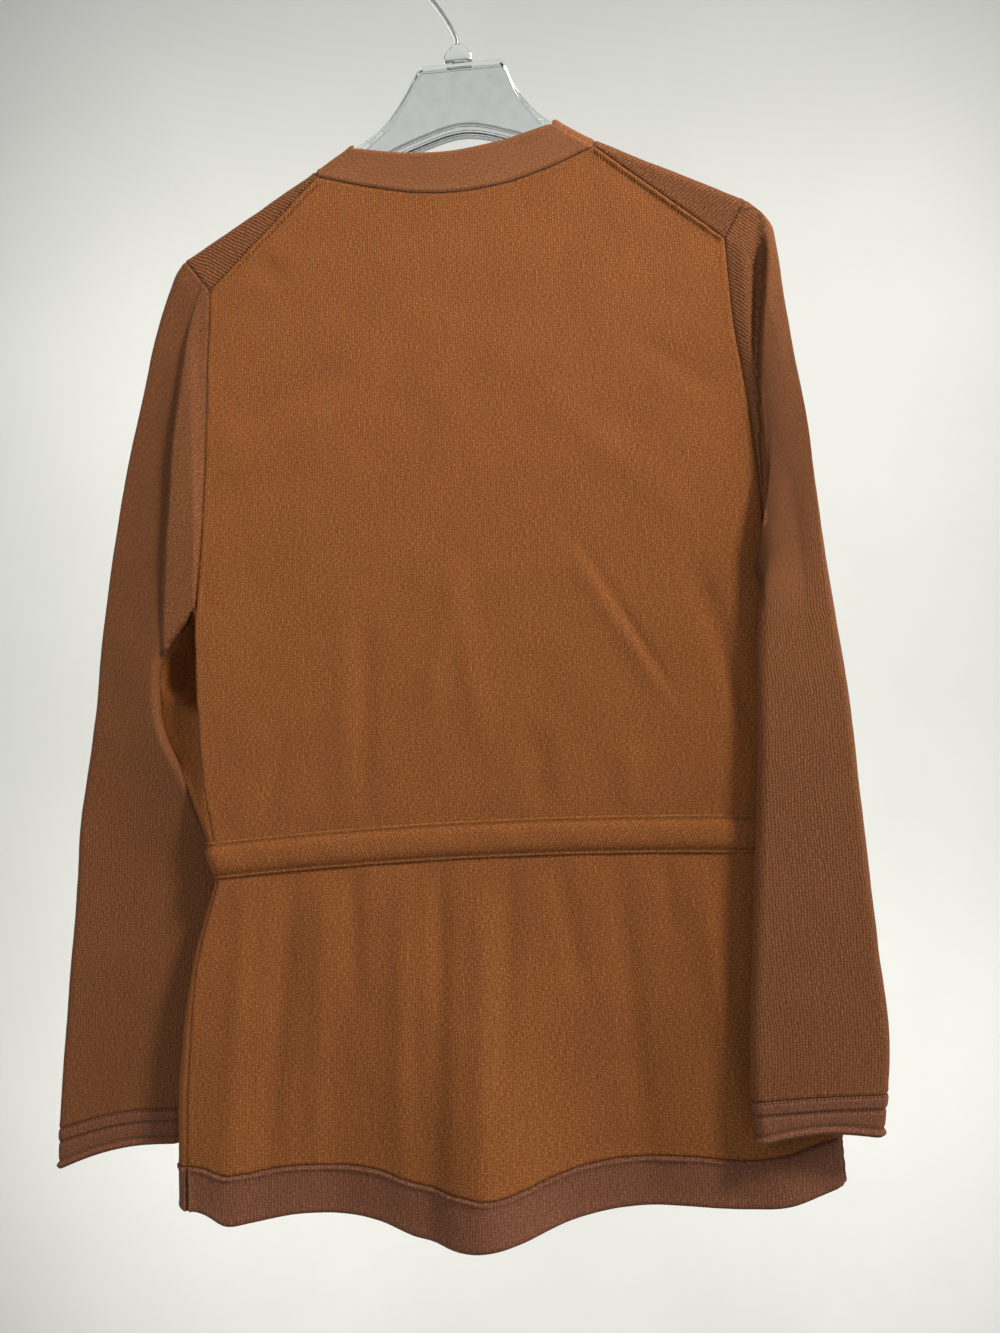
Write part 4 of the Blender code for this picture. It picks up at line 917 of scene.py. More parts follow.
    def level_z(self, level: float, x: float, back: bool) -> float:
        """Height of a level below the armholes.

        Args:
            level: 0 at the underarm, 1 and 2 at the casing's edges, 3 at the hem seam
                and 4 at the free edge.
            x: Where across.
            back: True on the back, False on the fronts.

        Returns:
            The height.
        """
        top = self.casing_top(x)
        hem = self.hem_curve.at(x, 1) if back else self.hem_front[0]
        edge = self.hem_curve.at(x, 2) if back else self.hem_front[1]
        heights = [LEFT_SIDE.underarm, top, top - self.casing_height, hem, edge]
        zone = min(int(level), 3)
        return mix(heights[zone], heights[zone + 1], level - zone)


# ---------------------------------------------------------------- fabric

@dataclass
class EdgeInfo:
    """For each point of a piece, how far it is from the piece's edges."""

    sewn: np.ndarray             # millimetres to the nearest seam
    neighbour: list[str]         # the piece on its other side
    free: np.ndarray             # millimetres to the nearest free edge
    place: np.ndarray            # the points themselves


@dataclass
class Relief:
    """What is raised, stitched and darkened with painted shade along the edges of a piece."""

    height: np.ndarray           # millimetres out from the plain cloth
    stitches: np.ndarray         # millimetres to the nearest row of stitches
    # Painted shade along the seams and creases, from 0 to 1
    shade: np.ndarray            # from 0 to 1, how dark a seam is


class Fabric:
    """One surface of shared points, whose faces belong to named pieces."""

    def __init__(self) -> None:
        """Start with no points."""
        self.places: list[np.ndarray] = []
        self.index: dict[tuple, int] = {}
        self.faces: dict[str, list[list[int]]] = {}
        self.corners: dict[str, list[list[tuple[float, float]]]] = {}
        self.owner: dict[tuple[int, int], str] = {}
        self.normals = np.zeros((0, 3))

    def point(self, place: np.ndarray) -> int:
        """The number of a place, which is added when it is new.

        Args:
            place: The place, in millimetres.

        Returns:
            The number.
        """
        key = tuple(round(float(value), 3) for value in place)
        if key not in self.index:
            self.index[key] = len(self.places)
            self.places.append(np.array(place, float))
        return self.index[key]

    def add_grid(self, rows: Grid, maps: list[list[tuple[float, float]]],
                 piece_of: Callable[[int], str], flip: bool) -> None:
        """Add the faces of a grid.

        Args:
            rows: Points in millimetres.
            maps: For each point, its place on the flat knit in millimetres.
            piece_of: Gives a row of faces its piece.
            flip: True to turn the faces over.
        """
        ids = [[self.point(place) for place in row] for row in rows]
        for r in range(len(ids) - 1):
            name = piece_of(r)
            faces = self.faces.setdefault(name, [])
            corners = self.corners.setdefault(name, [])
            for c in range(len(ids[r]) - 1):
                around = [(r, c), (r + 1, c), (r + 1, c + 1), (r, c + 1)]
                if flip:
                    around.reverse()
                face = []
                flat = []
                for i, j in around:
                    if ids[i][j] not in face:
                        face.append(ids[i][j])
                        flat.append(maps[i][j])
                if len(face) < 3:
                    continue
                faces.append(face)
                corners.append(flat)
                for a, b in zip(face, face[1:] + face[:1]):
                    self.owner[(a, b)] = name

    def settle(self, crotches: list[tuple[np.ndarray, float]]) -> None:
        """Work out the outward direction at each point, over all the pieces.

        Args:
            crotches: Points round each underarm, where out is also down, with weights.
        """
        points = np.array(self.places)
        normals = np.zeros_like(points)
        for faces in self.faces.values():
            ends = np.array([[face[0], face[2], face[-1], face[1]] for face in faces])
            across = unit(np.cross(points[ends[:, 1]] - points[ends[:, 0]],
                                   points[ends[:, 2]] - points[ends[:, 3]]))
            for k in range(4):
                np.add.at(normals, ends[:, k], across)
        normals = unit(normals)
        for place, weight in crotches:
            normals[self.point(place)] += np.array([0.0, 0.0, -weight])
        self.normals = unit(normals)

    def edges_of(self, name: str, used: list[int]) -> EdgeInfo:
        """Measure a piece's points from its edges.

        Args:
            name: The piece.
            used: The numbers of its points.

        Returns:
            The distances and the neighbours.
        """
        samples: dict[bool, list[tuple[np.ndarray, str]]] = {True: [], False: []}
        for face in self.faces[name]:
            for a, b in zip(face, face[1:] + face[:1]):
                other = self.owner.get((b, a), "")
                run = {kind for kind in BAND_RUN for one in (name, other)
                       if one.startswith(kind)}
                if other == name or run == BAND_RUN:
                    continue
                for share in EDGE_SHARES:
                    spot = self.places[a] * (1.0 - share) + self.places[b] * share
                    samples[other != ""].append((spot, other))
        distances = {}
        neighbour = [""] * len(used)
        for sewn, spots in samples.items():
            distances[sewn] = np.full(len(used), NO_EDGE)
            if not spots:
                continue
            tree = KDTree(len(spots))
            for k, (spot, _) in enumerate(spots):
                tree.insert(spot, k)
            tree.balance()
            for k, point in enumerate(used):
                _, found, far = tree.find(self.places[point])
                distances[sewn][k] = far
                if sewn:
                    neighbour[k] = spots[found][1]
        place = np.array([self.places[point] for point in used])
        return EdgeInfo(distances[True], neighbour, distances[False], place)

    def shell(self, name: str, wall: float,
              profile: Callable[[EdgeInfo], Relief]) -> bpy.types.Object:
        """Make one piece as a thin wall with a knit map.

        Args:
            name: The piece, which is also the CAD node it stands for.
            wall: Its thickness.
            profile: Gives the relief along its edges.

        Returns:
            The new object.
        """
        faces = self.faces[name]
        used = sorted({k for face in faces for k in face})
        local = {point: k for k, point in enumerate(used)}
        info = self.edges_of(name, used)
        relief = profile(info)
        out = self.normals[used]
        soft = np.array([uneven(place) for place in info.place])
        top = info.place + out * (relief.height + soft)[:, None]
        closing = sum(share * bell(far, 0.0, width)
                      for far, (share, width) in zip((info.free, info.sewn), CLOSING))
        foot = info.place + out * (soft - wall * (1.0 - closing))[:, None]
        count = len(used)
        solid = []
        maps = []
        rim = {}
        for face, flat in zip(faces, self.corners[name]):
            solid.append([local[k] for k in face])
            maps.append(flat)
            solid.append([local[k] + count for k in reversed(face)])
            maps.append(list(reversed(flat)))
            for k, (a, b) in enumerate(zip(face, face[1:] + face[:1])):
                if self.owner.get((b, a)) != name:
                    rim[(a, b)] = (flat[k], flat[(k + 1) % len(flat)])
        for (a, b), (flat_a, flat_b) in rim.items():
            solid.append([local[b], local[a], local[a] + count, local[b] + count])
            maps.append([flat_b, flat_a, flat_a, flat_b])
        piece = mesh_object(name + "_knit", np.vstack([top, foot]), solid, maps)
        # Painted shade along the seams, which the material darkens
        store(piece, "seam_shade", np.concatenate([relief.shade, relief.shade]))
        store(piece, "stitch_row", np.concatenate([relief.stitches, np.full(count, FAR)]))
        return piece


def unit(vectors: np.ndarray) -> np.ndarray:
    """Bring each vector to a length of 1."""
    return vectors / np.maximum(np.linalg.norm(vectors, axis=1), 1e-9)[:, None]


def uneven(place: np.ndarray) -> float:
    """The cloth's slight unevenness at a place, in millimetres."""
    return sum(height * noise.noise(Vector(place) / size + Vector(shift))
               for size, height, shift in UNEVEN)


def store(piece: bpy.types.Object, name: str, values: np.ndarray) -> None:
    """Keep a number for each point of a mesh, for its material to read."""
    attribute = piece.data.attributes.new(name, "FLOAT", "POINT")
    attribute.data.foreach_set("value", np.asarray(values, np.float32))


def mesh_object(name: str, points: Sequence[Sequence[float]], faces: list[list[int]],
                maps: list[list[tuple[float, float]]] | None = None) -> bpy.types.Object:
    """Make a smooth-shaded mesh object from points in millimetres.

    Args:
        name: The object's name.
        points: Places in millimetres.
        faces: The numbers of each face's points.
        maps: For each face's corners, the place on the flat knit.

    Returns:
        The object, in the scene and riding on the root body.
    """
    mesh = bpy.data.meshes.new(name)
    mesh.from_pydata([tuple(float(v) * MM for v in place) for place in points], [], faces)
    mesh.shade_smooth()
    if maps is not None:
        layer = mesh.uv_layers.new(name="knit")
        flat = np.array([value for corners in maps for pair in corners for value in pair])
        layer.uv.foreach_set("vector", flat.astype(np.float32))
    mesh.validate()
    thing = bpy.data.objects.new(name, mesh)
    bpy.context.collection.objects.link(thing)
    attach(thing, "root")
    return thing


def row_lengths(row: Sequence[np.ndarray]) -> np.ndarray:
    """Distance along a row of points, from its first."""
    steps = np.linalg.norm(np.diff(np.array(row), axis=0), axis=1)
    return np.concatenate([[0.0], np.cumsum(steps)])


# ---------------------------------------------------------------- torso

FLAT_TURN = 4.0                  # turns of fold_point for a millimetre of flat cloth


@dataclass
class Torso:
    """The back, the fronts, the hem bands, the front bands and the neck band."""

    form: TorsoForm = field(default_factory=TorsoForm)
    wall: float = 1.6
    band_wall: float = 1.8
    front_band: float = 33.0
    front_gap: float = 1.5
    over_neck: float = 28.0      # width of the band where it goes over the shoulder
    neck_lean: tuple[float, float, float] = (32.0, -400.0, 240.0)    # degrees, from z, over
    neck_in: float = 2.5         # how far a front's neck edge turns in over the shoulder
    seam_look: float = 200.0     # x at which the levels of a side seam are first read
    band_seam: float = 34.0      # x of the seam of a front band
    front_blend: float = 2.5     # how soon a row leaves the level of the back
    foot_power: float = 0.6      # how the rows crowd towards the underarm
    grain: float = 3.3           # even step of the mesh
    near_side: float = 14.0      # width of the fine columns next to the side
    neck_columns: int = 56
    armhole: tuple[float, float] = (225.0, 230.0)      # its length on the back, on the front
    # Lengths of the body over the casing, under it, and of the hem band
    zones: tuple[float, float, float] = (160.0, 203.0, 32.0)
    arm_foot: float = 28.0       # the front's rows turn to the side over this height
    neck_foot: float = 10.0      # the same at the front band
    neck_seam: Rows = ((-100, -152), (-72, -163), (-38, -172.5), (-7, -176), (22, -175),
                       (60, -167), (97, -156.5))
    neck_edge: Rows = ((-75, -132), (-35, -141.5), (1, -146), (36, -144), (70, -137.5))
    front_neck: Rows = ((-150, 99.5), (-200, 86), (-260, 68.5), (-320, 50.5), (-360, 40),
                        (-385, 35.5), (-410, 33.75), (-900, 33.75))
    casing_marks: Sequence[float] = (0.0, 0.025, 0.055, 0.09, 0.13, 0.19, 0.27, 0.38, 0.5, 0.62,
                                     0.73, 0.81, 0.87, 0.91, 0.945, 0.975, 1.0)

    def __post_init__(self) -> None:
        """Prepare the curves and the marks of the grids."""
        self.seam_curve = Curve(self.neck_seam)
        self.edge_curve = Curve(self.neck_edge)
        self.neck_curve = Curve(self.front_neck)
        self.arm_marks = marks(self.armhole[0], self.grain, True, False)
        self.strip_marks = marks(26.0, 3.0, True, False)
        self.round_marks = [k / 5 for k in range(6)]
        self.side_marks = marks(self.near_side, 0.9, True, False)
        self.front_marks = marks(115.0, self.grain, False, True)
        self.across_marks = marks(self.front_band, 2.8, True, True)
        self.front_arm_marks = marks(self.armhole[1], self.grain, False, False)[1:]
        self.turn_marks = (0.2, 0.4, 0.6, 0.8)
        self.levels = marks(self.zones[0], self.grain, False, False)[:-1]
        self.levels += [1.0 + m for m in self.casing_marks[:-1]]
        self.levels += [2.0 + m for m in marks(self.zones[1], self.grain, False, True)[:-1]]
        self.hem_level = len(self.levels)
        self.levels += [3.0 + m for m in marks(self.zones[2], 2.4, True, True)]
        self.first_casing = next(k for k, level in enumerate(self.levels) if level >= 1.0)
        self.ridge_rows = len(self.strip_marks) + len(self.round_marks) - 2
        self.top_rows = (self.ridge_rows + len(self.round_marks) - 1
                         + len(self.front_arm_marks) + len(self.turn_marks) + 1)

    def arm_x(self, side: SideForm, reach: float) -> float:
        """x of the armhole seam where it crosses the shoulder."""
        corner = self.form.ridge.reach_of(side.corner_x, side.corner_z)
        return mix(side.tip_x, side.corner_x, abs(reach) / corner)

    def seam_turn(self, side: SideForm, z: float) -> float:
        """Where the side seam lies round the fold, in turns of fold_point.

        Args:
            side: Which side of the garment.
            z: Where up.

        Returns:
            The turn.
        """
        inset = side.body_curve.at(z, 2)
        radius = side.body_curve.at(z, 4)
        if inset > radius:
            return 90.0 + FLAT_TURN * (inset - radius)
        return math.degrees(math.acos(1.0 - inset / radius))

    def seam_point(self, side: SideForm, z: float) -> np.ndarray:
        """A point of the side seam."""
        x = side.sign * (side.body_curve.at(z, 1) - side.body_curve.at(z, 2))
        return np.array([x, self.form.back_y(x, z), z])

    def fold_point(self, side: SideForm, turn: float, z: float) -> np.ndarray:
        """A point by its turn round the side fold.

        Args:
            side: Which side.
            turn: From 90 to -90 an angle round the fold, from back to front, and past
                these 4 for each millimetre along the flat cloth.
            z: The height.

        Returns:
            The point.
        """
        radius = side.body_curve.at(z, 4)
        inner = side.body_curve.at(z, 1) - radius
        flat = max(abs(turn) - 90.0, 0.0) / FLAT_TURN
        surface = self.form.back_y if turn > 0 else self.form.front_y
        if flat > 0.0:
            x = side.sign * (inner - flat)
            return np.array([x, surface(x, z), z])
        middle = side.body_curve.at(z, 3)
        angle = math.radians(turn)
        x = side.sign * (inner + radius * math.cos(angle))
        level = surface(side.sign * inner, z)
        return np.array([x, middle + (level - middle) * abs(math.sin(angle)), z])

    def arm_back(self, side: SideForm) -> list[np.ndarray]:
        """Armhole seam on the back, from the shoulder seam to the underarm.

        Args:
            side: Which side of the garment.

        Returns:
            The points.
        """
        points = []
        for share in self.arm_marks:
            z = mix(side.corner_z, side.underarm, share)
            x = side.arm_curve.at(z)
            points.append(np.array([x, self.form.back_y(x, z), z]))
        points[-1] = self.seam_point(side, side.underarm)
        return points

    def reaches(self, side: SideForm) -> list[tuple[float, float]]:
        """Distances from the ridge of the first rows of the front, at both ends.

        Args:
            side: Which side of the garment.

        Returns:
            For each row its distance at the armhole and at the neck.
        """
        ridge = self.form.ridge
        columns = []
        for x, z in ((side.corner_x, side.corner_z), side.neck):
            start = ridge.reach_of(x, z)
            middle = min(ridge.quarter, 0.8 * start)
            rows = [mix(start, middle, m) for m in self.strip_marks[:-1]]
            rows += [mix(middle, 0.0, m) for m in self.round_marks[:-1]]
            rows += [-ridge.quarter * m for m in self.round_marks]
            columns.append(rows)
        return list(zip(*columns))

    def column_shares(self, outer_x: float, inner_x: float) -> list[float]:
        """Shares across the front of its columns, closer together at the side.

        Args:
            outer_x: x at the side.
            inner_x: x at the middle.

        Returns:
            The shares.
        """
        near = self.near_side / abs(outer_x - inner_x)
        shares = [near * m for m in self.side_marks[:-1]]
        return shares + [mix(near, 1.0, m) for m in self.front_marks]

    def flat_row(self, outer: tuple[float, float], inner: tuple[float, float]) -> list[np.ndarray]:
        """A row across the front between two places given by x and reach.

        Args:
            outer: The place at the side.
            inner: The place at the front band.

        Returns:
            The row's points.
        """
        row = []
        for share in self.column_shares(outer[0], inner[0]):
            x = mix(outer[0], inner[0], share)
            row.append(self.form.over_ridge(x, mix(outer[1], inner[1], share)))
        return row

    def turned_row(self, side: SideForm, turn: float, outer_z: float,
                   inner_z: float) -> list[np.ndarray]:
        """A row of the front that starts at a turn round the side fold.

        Args:
            side: Which side of the garment.
            turn: The turn at which it starts.
            outer_z: Its height at the side.
            inner_z: Its height at the front band.

        Returns:
            The row's points.
        """
        span = FLAT_TURN * self.near_side
        last = min(-90.0 - span, turn - span)
        row = [self.fold_point(side, mix(turn, last, m), outer_z) for m in self.side_marks[:-1]]
        start = self.fold_point(side, last, outer_z)
        for share in self.front_marks:
            z = mix(outer_z, inner_z, share)
            x = mix(start[0], side.sign * self.neck_curve.at(inner_z), share)
            row.append(np.array([x, self.form.front_y(x, z), z]))
        return row

    def front_grid(self, side: SideForm) -> Grid:
        """Rows of points of one front, from the shoulder seam to the hem.

        Args:
            side: Which side of the garment.

        Returns:
            The rows.
        """
        ridge = self.form.ridge
        neck_reach = ridge.reach_of(*side.neck)
        rows = []
        for outer_reach, inner_reach in self.reaches(side):
            drop = max(inner_reach / neck_reach, 0.0)
            inner_x = side.neck[0] + side.sign * self.neck_in * (1.0 - drop)
            rows.append(self.flat_row((self.arm_x(side, outer_reach), outer_reach),
                                      (inner_x, inner_reach)))
        arm_top = rows[-1][0][2]
        neck_top = rows[-1][-1][2]
        arm_end = side.underarm + self.arm_foot
        neck_end = side.underarm + self.neck_foot
        for share in self.front_arm_marks:
            z = mix(arm_top, arm_end, share)
            shoulder = self.arm_x(side, ridge.reach_of(side.corner_x, z))
            x = shoulder if abs(shoulder) > abs(side.corner_x) else side.arm_curve.at(z)
            inner_z = mix(neck_top, neck_end, share)
            inner_x = side.sign * self.neck_curve.at(inner_z)
            rows.append(self.flat_row((x, -ridge.reach_of(x, z)),
                                      (inner_x, -ridge.reach_of(inner_x, inner_z))))
        last = self.seam_turn(side, side.underarm)
        for share in self.turn_marks:
            z = arm_end - self.arm_foot * share ** self.foot_power
            rows.append(self.turned_row(side, mix(-90.0, last, share), z,
                                        mix(neck_end, side.underarm, share)))
        first = len(self.side_marks) - 1
        for level in self.levels:
            look = self.form.level_z(level, side.sign * self.seam_look, True)
            outer_z = self.form.level_z(level, self.seam_point(side, look)[0], True)
            inner_z = self.form.level_z(level, side.sign * self.band_seam, False)
            row = self.turned_row(side, self.seam_turn(side, outer_z), outer_z, inner_z)
            for k, share in enumerate(self.front_marks):
                x = row[first + k][0]
                front_z = self.form.level_z(level, x, False)
                z = mix(outer_z, front_z, step(share * self.front_blend))
                row[first + k] = np.array([x, self.form.front_y(x, z), z])
            rows.append(row)
        return rows

    def front_maps(self, side: SideForm, grid: Grid) -> list[list[tuple[float, float]]]:
        """Places on the flat knit of a front, whose wales stand upright.

        Over the ridge the wales are carried to the back at twice the shoulder's slope.

        Args:
            side: Which side of the garment.
            grid: The rows of the front.

        Returns:
            For each point its place on the knit.
        """
        (x0, z0), (x1, z1) = sorted(self.form.ridge.line)[-2:]
        if side.hand is Hand.RIGHT:
            (x1, z1), (x0, z0) = sorted(self.form.ridge.line)[:2]
        slope = math.atan2(abs(z1 - z0), abs(x1 - x0))
        first = len(self.side_marks) - 1
        maps = []
        for r, row in enumerate(grid):
            out = row_lengths(list(reversed(row[:first + 1])))[::-1]
            line = []
            for c, (x, _, z) in enumerate(row):
                if r < self.ridge_rows:
                    drop = self.form.ridge.curve.at(x) - z
                    u = x + side.sign * drop * math.sin(2.0 * slope)
                    line.append((u, z + 2.0 * drop * math.cos(slope) ** 2))
                elif c < first and r > self.top_rows - len(self.turn_marks):
                    line.append((row[first][0] + side.sign * out[c], z))
                else:
                    line.append((x, z))
            maps.append(line)
        return maps

    def back_grid(self, fronts: list[Grid]) -> Grid:
        """Rows of points of the back, which starts from the fronts' shoulder seams.

        Args:
            fronts: The grids of the left and right front.

        Returns:
            The rows.
        """
        left, right = fronts
        arms = (self.arm_back(LEFT_SIDE), self.arm_back(RIGHT_SIDE))
        top = list(left[0])
        for k in range(1, self.neck_columns):
            x = mix(LEFT_SIDE.neck[0], RIGHT_SIDE.neck[0], k / self.neck_columns)
            z = self.seam_curve.at(x)
            top.append(np.array([x, self.form.back_y(x, z), z]))
        top += list(reversed(right[0]))
        shares = [(top[0][0] - place[0]) / (top[0][0] - top[-1][0]) for place in top]
        rows = [top]
        arm_rows = len(self.arm_marks) - 1
        for r in range(1, arm_rows + len(self.levels)):
            level = r - arm_rows
            if level < 0:
                ends = (arms[0][r], arms[1][r])
            else:
                ends = (left[self.top_rows + level][0], right[self.top_rows + level][0])
            row = [ends[0]]
            for c in range(1, len(top) - 1):
                x = mix(ends[0][0], ends[1][0], shares[c])
                if level < 0:
                    down = self.arm_marks[r]
                    lift = top[c][2] - mix(top[0][2], top[-1][2], shares[c])
                    z = mix(ends[0][2], ends[1][2], shares[c]) + lift * (1.0 - down) ** 1.5
                else:
                    z = self.form.level_z(self.levels[level], x, True)
                row.append(np.array([x, self.form.back_y(x, z), z]))
            row.append(ends[1])
            rows.append(row)
        return rows

    def band_row(self, point: np.ndarray, side: SideForm) -> list[np.ndarray]:
        """Points across the front band, from its seam to its free edge.

        Args:
            point: The point on the seam.
            side: Which side of the garment.

        Returns:
            The row's points.
        """
        x, y, z = point
        ridge = self.form.ridge
        reach = ridge.reach_of(x, z)
        row = [point]
        if reach < ridge.quarter + 0.01:
            signed = reach if y > 0 else -reach
            for share in self.across_marks[1:]:
                row.append(self.form.over_ridge(x - side.sign * self.over_neck * share, signed))
            return row
        most, start, rise = self.neck_lean
        lean = math.radians(most * step((z - start) / rise))
        for share in self.across_marks[1:]:
            across = self.front_band * share
            new_x = x - side.sign * across * math.cos(lean)
            new_x = side.sign * max(abs(new_x), self.front_gap / 2.0)
            new_z = z + across * math.sin(lean)
            row.append(np.array([new_x, self.form.front_y(new_x, new_z), new_z]))
        return row

    def neck_rows(self, seam: list[np.ndarray], ends: list[list[np.ndarray]]) -> Grid:
        """Rows across the band at the back of the neck.

        Args:
            seam: The points of the neck seam.
            ends: The band's rows at the two shoulders.

        Returns:
            The rows.
        """
        rows = [ends[0]]
        count = len(seam) - 1
        for k in range(1, count):
            point = seam[k]
            edge_x = mix(ends[0][-1][0], ends[1][-1][0], k / count)
            edge_z = self.edge_curve.at(edge_x)
            row = [point]
            for share in self.across_marks[1:]:
                x = mix(point[0], edge_x, share)
                z = mix(point[2], edge_z, share)
                row.append(np.array([x, self.form.back_y(x, z), z]))
            rows.append(row)
        rows.append(ends[1])
        return rows

    def band_maps(self, rows: Grid) -> list[list[tuple[float, float]]]:
        """Places on the flat knit of a band, whose wales run along it."""
        along = row_lengths([row[0] for row in rows])
        return [[(self.front_band * share, float(far)) for share in self.across_marks]
                for far in along]


# ---------------------------------------------------------------- sleeves

@dataclass
class Sleeve:
    """One sleeve and its cuff: a flattened tube from the armhole down."""

    side: SideForm
    torso: Torso
    grain: float = 3.4
    length: float = 560.0
    cuff: float = 29.0
    end_round: float = 6.5       # half thickness of the tube's rounded ends
    arc: float = 1.3             # length of an end's round beside its half thickness
    strip_step: float = 4.5      # width of the step from the strip to the tube
    # The fold that hangs over the right armhole seam: height, sideways, out
    overhang: Rows = ((-590, 0, 0), (-560, 0.5, 0), (-530, 1.5, 0), (-510, 3, 1), (-492, 6.5, 3),
                      (-478, 10.5, 6), (-466, 12.5, 8), (-440, 10, 8), (-412, 6.5, 7),
                      (-385, 3, 4), (-355, 0, 0))
    cap_roll: float = 8.0        # how far the cap's fold stands up beside the strip
    # The strip fades in below its top and above its foot, and in a share of the length
    strip_fade: tuple[float, float, float] = (16.0, 20.0, 0.04)
    roll_top: tuple[float, float] = (-214.0, 26.0)     # the roll starts here, over a height
    roll_foot: tuple[float, float] = (-480.0, 90.0)
    roll_start: float = 0.03     # and in a share of the length
    hang_start: tuple[float, float, float] = (0.1, 0.45, 0.4)    # share, along, over
    arm_pull: tuple[float, float] = (0.25, 1.5)        # the armhole's own form fades
    arm_spacing: float = 0.3     # share over which its spacing fades

    def __post_init__(self) -> None:
        """Prepare the overhang's curve."""
        self.overhang_curve = Curve(self.overhang)

    def ends(self, share: float) -> tuple[tuple, tuple]:
        """The outer and inner end of the section at a share of the length.

        Args:
            share: Share of the length.

        Returns:
            x, z, back y and front y of each end.
        """
        side = self.side
        found = []
        for column, curve in ((1, side.outer_curve), (2, side.inner_curve)):
            z = side.pair_curve.at(share, column)
            found.append((curve.at(z, 1), z, curve.at(z, 2), curve.at(z, 3)))
        return found[0], found[1]

    def section_point(self, outer: tuple, inner: tuple, along: float, back: bool) -> np.ndarray:
        """A point of a flattened tube.

        Args:
            outer: x, z, back y and front y of the section's outer end.
            inner: The same of its inner end.
            along: From 0 at the outer end to 1 at the inner one.
            back: True on the back half.

        Returns:
            The point.
        """
        length = math.hypot(outer[0] - inner[0], outer[1] - inner[1])
        end = min(self.end_round, length / 4.0)
        arc = self.arc * end
        flat = length - 2.0 * end
        distance = along * (flat + 2.0 * arc)
        place = end + distance - arc
        rise = 1.0
        if distance < arc:
            angle = distance / arc * math.pi / 2.0
            place = end * (1.0 - math.cos(angle))
            rise = math.sin(angle)
        elif distance > arc + flat:
            angle = (distance - arc - flat) / arc * math.pi / 2.0
            place = length - end + end * math.sin(angle)
            rise = math.cos(angle)
        share = place / length
        half = 2 if back else 3
        level = mix(outer[half], inner[half], share)
        middle = mix((outer[2] + outer[3]) / 2.0, (inner[2] + inner[3]) / 2.0, share)
        return np.array([mix(outer[0], inner[0], share), middle + (level - middle) * rise,
                         mix(outer[1], inner[1], share)])

    def strip_weight(self, point: np.ndarray, share: float) -> float:
        """How much of the strip of cap there is at a point.

        Args:
            point: The point.
            share: Share of the length.

        Returns:
            The weight, from 0 to 1.
        """
        z = point[2]
        top = self.side.strip[0][0]
        bottom = self.side.strip[-1][0]
        upper, lower, start = self.strip_fade
        weight = (step((top + upper - z) / upper) * step((z - bottom) / lower)
                  * step(share / start))
        ridge = self.side.strip_curve.at(z, 1)
        return weight * step(0.5 + (abs(ridge) - abs(point[0])) / self.strip_step)

    def roll_at(self, point: np.ndarray, share: float) -> float:
        """Height of the right cap's fold, which falls away to the sleeve's outer edge.

        Args:
            point: The point.
            share: Share of the length.

        Returns:
            The height in millimetres.
        """
        if self.side.hand is Hand.LEFT:
            return 0.0
        x, _, z = point
        ridge = abs(self.side.strip_curve.at(z, 1))
        outer = abs(self.side.outer_curve.at(z, 1))
        out = min(max((abs(x) - ridge) / (outer - ridge), 0.0), 1.0)
        (top, upper), (foot, lower) = self.roll_top, self.roll_foot
        fade = (step((top - z) / upper) * step((z - foot) / lower)
                * step(share / self.roll_start))
        return self.cap_roll * (1.0 - out) * fade

    def hang_over(self, point: np.ndarray, share: float, along: float) -> np.ndarray:
        """Move a point of the right sleeve's back into the fold over its seam.

        Args:
            point: The point.
            share: Share of the length.
            along: From 0 at the outer end to 1 at the inner one.

        Returns:
            The moved point.
        """
        if self.side.hand is Hand.LEFT:
            return point
        start, edge, rise = self.hang_start
        weight = step(share / start) * step((along - edge) / rise)
        sideways = self.overhang_curve.at(point[2], 1) * weight
        out = self.overhang_curve.at(point[2], 2) * weight
        return point + np.array([sideways, out, 0.0])

    def half(self, ring: list[np.ndarray], share: float, back: bool) -> list[np.ndarray]:
        """Points of one half of a section, from the outer end to the inner one.

        Args:
            ring: The same half of the armhole.
            share: Share of the length.
            back: True on the back half.

        Returns:
            The points.
        """
        lengths = row_lengths(ring)
        outer, inner = self.ends(share)
        first_outer, first_inner = self.ends(0.0)
        pull, power = self.arm_pull
        fade = max(1.0 - share / pull, 0.0) ** power
        points = []
        for k, mark in enumerate(lengths / lengths[-1]):
            along = mix(mark, k / (len(ring) - 1), step(share / self.arm_spacing))
            point = self.section_point(outer, inner, along, back)
            start = self.section_point(first_outer, first_inner, mark, back)
            point = point + (ring[k] - start) * fade
            point[2] += self.side.arch_curve.at(share) * math.sin(math.pi * along)
            if back and 0 < k < len(ring) - 1:
                weight = self.strip_weight(point, share)
                point[1] += self.roll_at(point, share)
                point[1] = mix(point[1], self.side.strip_curve.at(point[2], 2), weight)
                point = self.hang_over(point, share, along)
            points.append(point)
        return points

    def grid(self, back_ring: list[np.ndarray], front_ring: list[np.ndarray]
             ) -> tuple[Grid, list[list[tuple[float, float]]], int]:
        """Rings of points from the armhole to the end of the cuff.

        Args:
            back_ring: Armhole points from the shoulder's ridge down the back.
            front_ring: The same down the front.

        Returns:
            The rings, opened at the underarm, their knit maps, and the ring where the
            cuff starts.
        """
        shares = marks(self.length, self.grain, True, True)
        cuff_start = len(shares) - 1
        end = self.side.pair[-1][0]
        shares += [mix(1.0, end, m) for m in marks(self.cuff, 1.0, False, False)[1:]]
        rows = [list(reversed(back_ring)) + front_ring[1:]]
        for share in shares[1:]:
            back = self.half(back_ring, share, True)
            front = self.half(front_ring, share, False)
            rows.append(list(reversed(back)) + front[1:])
        middle = len(back_ring) - 1
        maps = []
        for row, share in zip(rows, shares):
            lengths = row_lengths(row)
            down = -self.length * share
            maps.append([(float(far - lengths[middle]), down) for far in lengths])
        self.lean_strip(rows, shares, maps, middle)
        return rows, maps, cuff_start

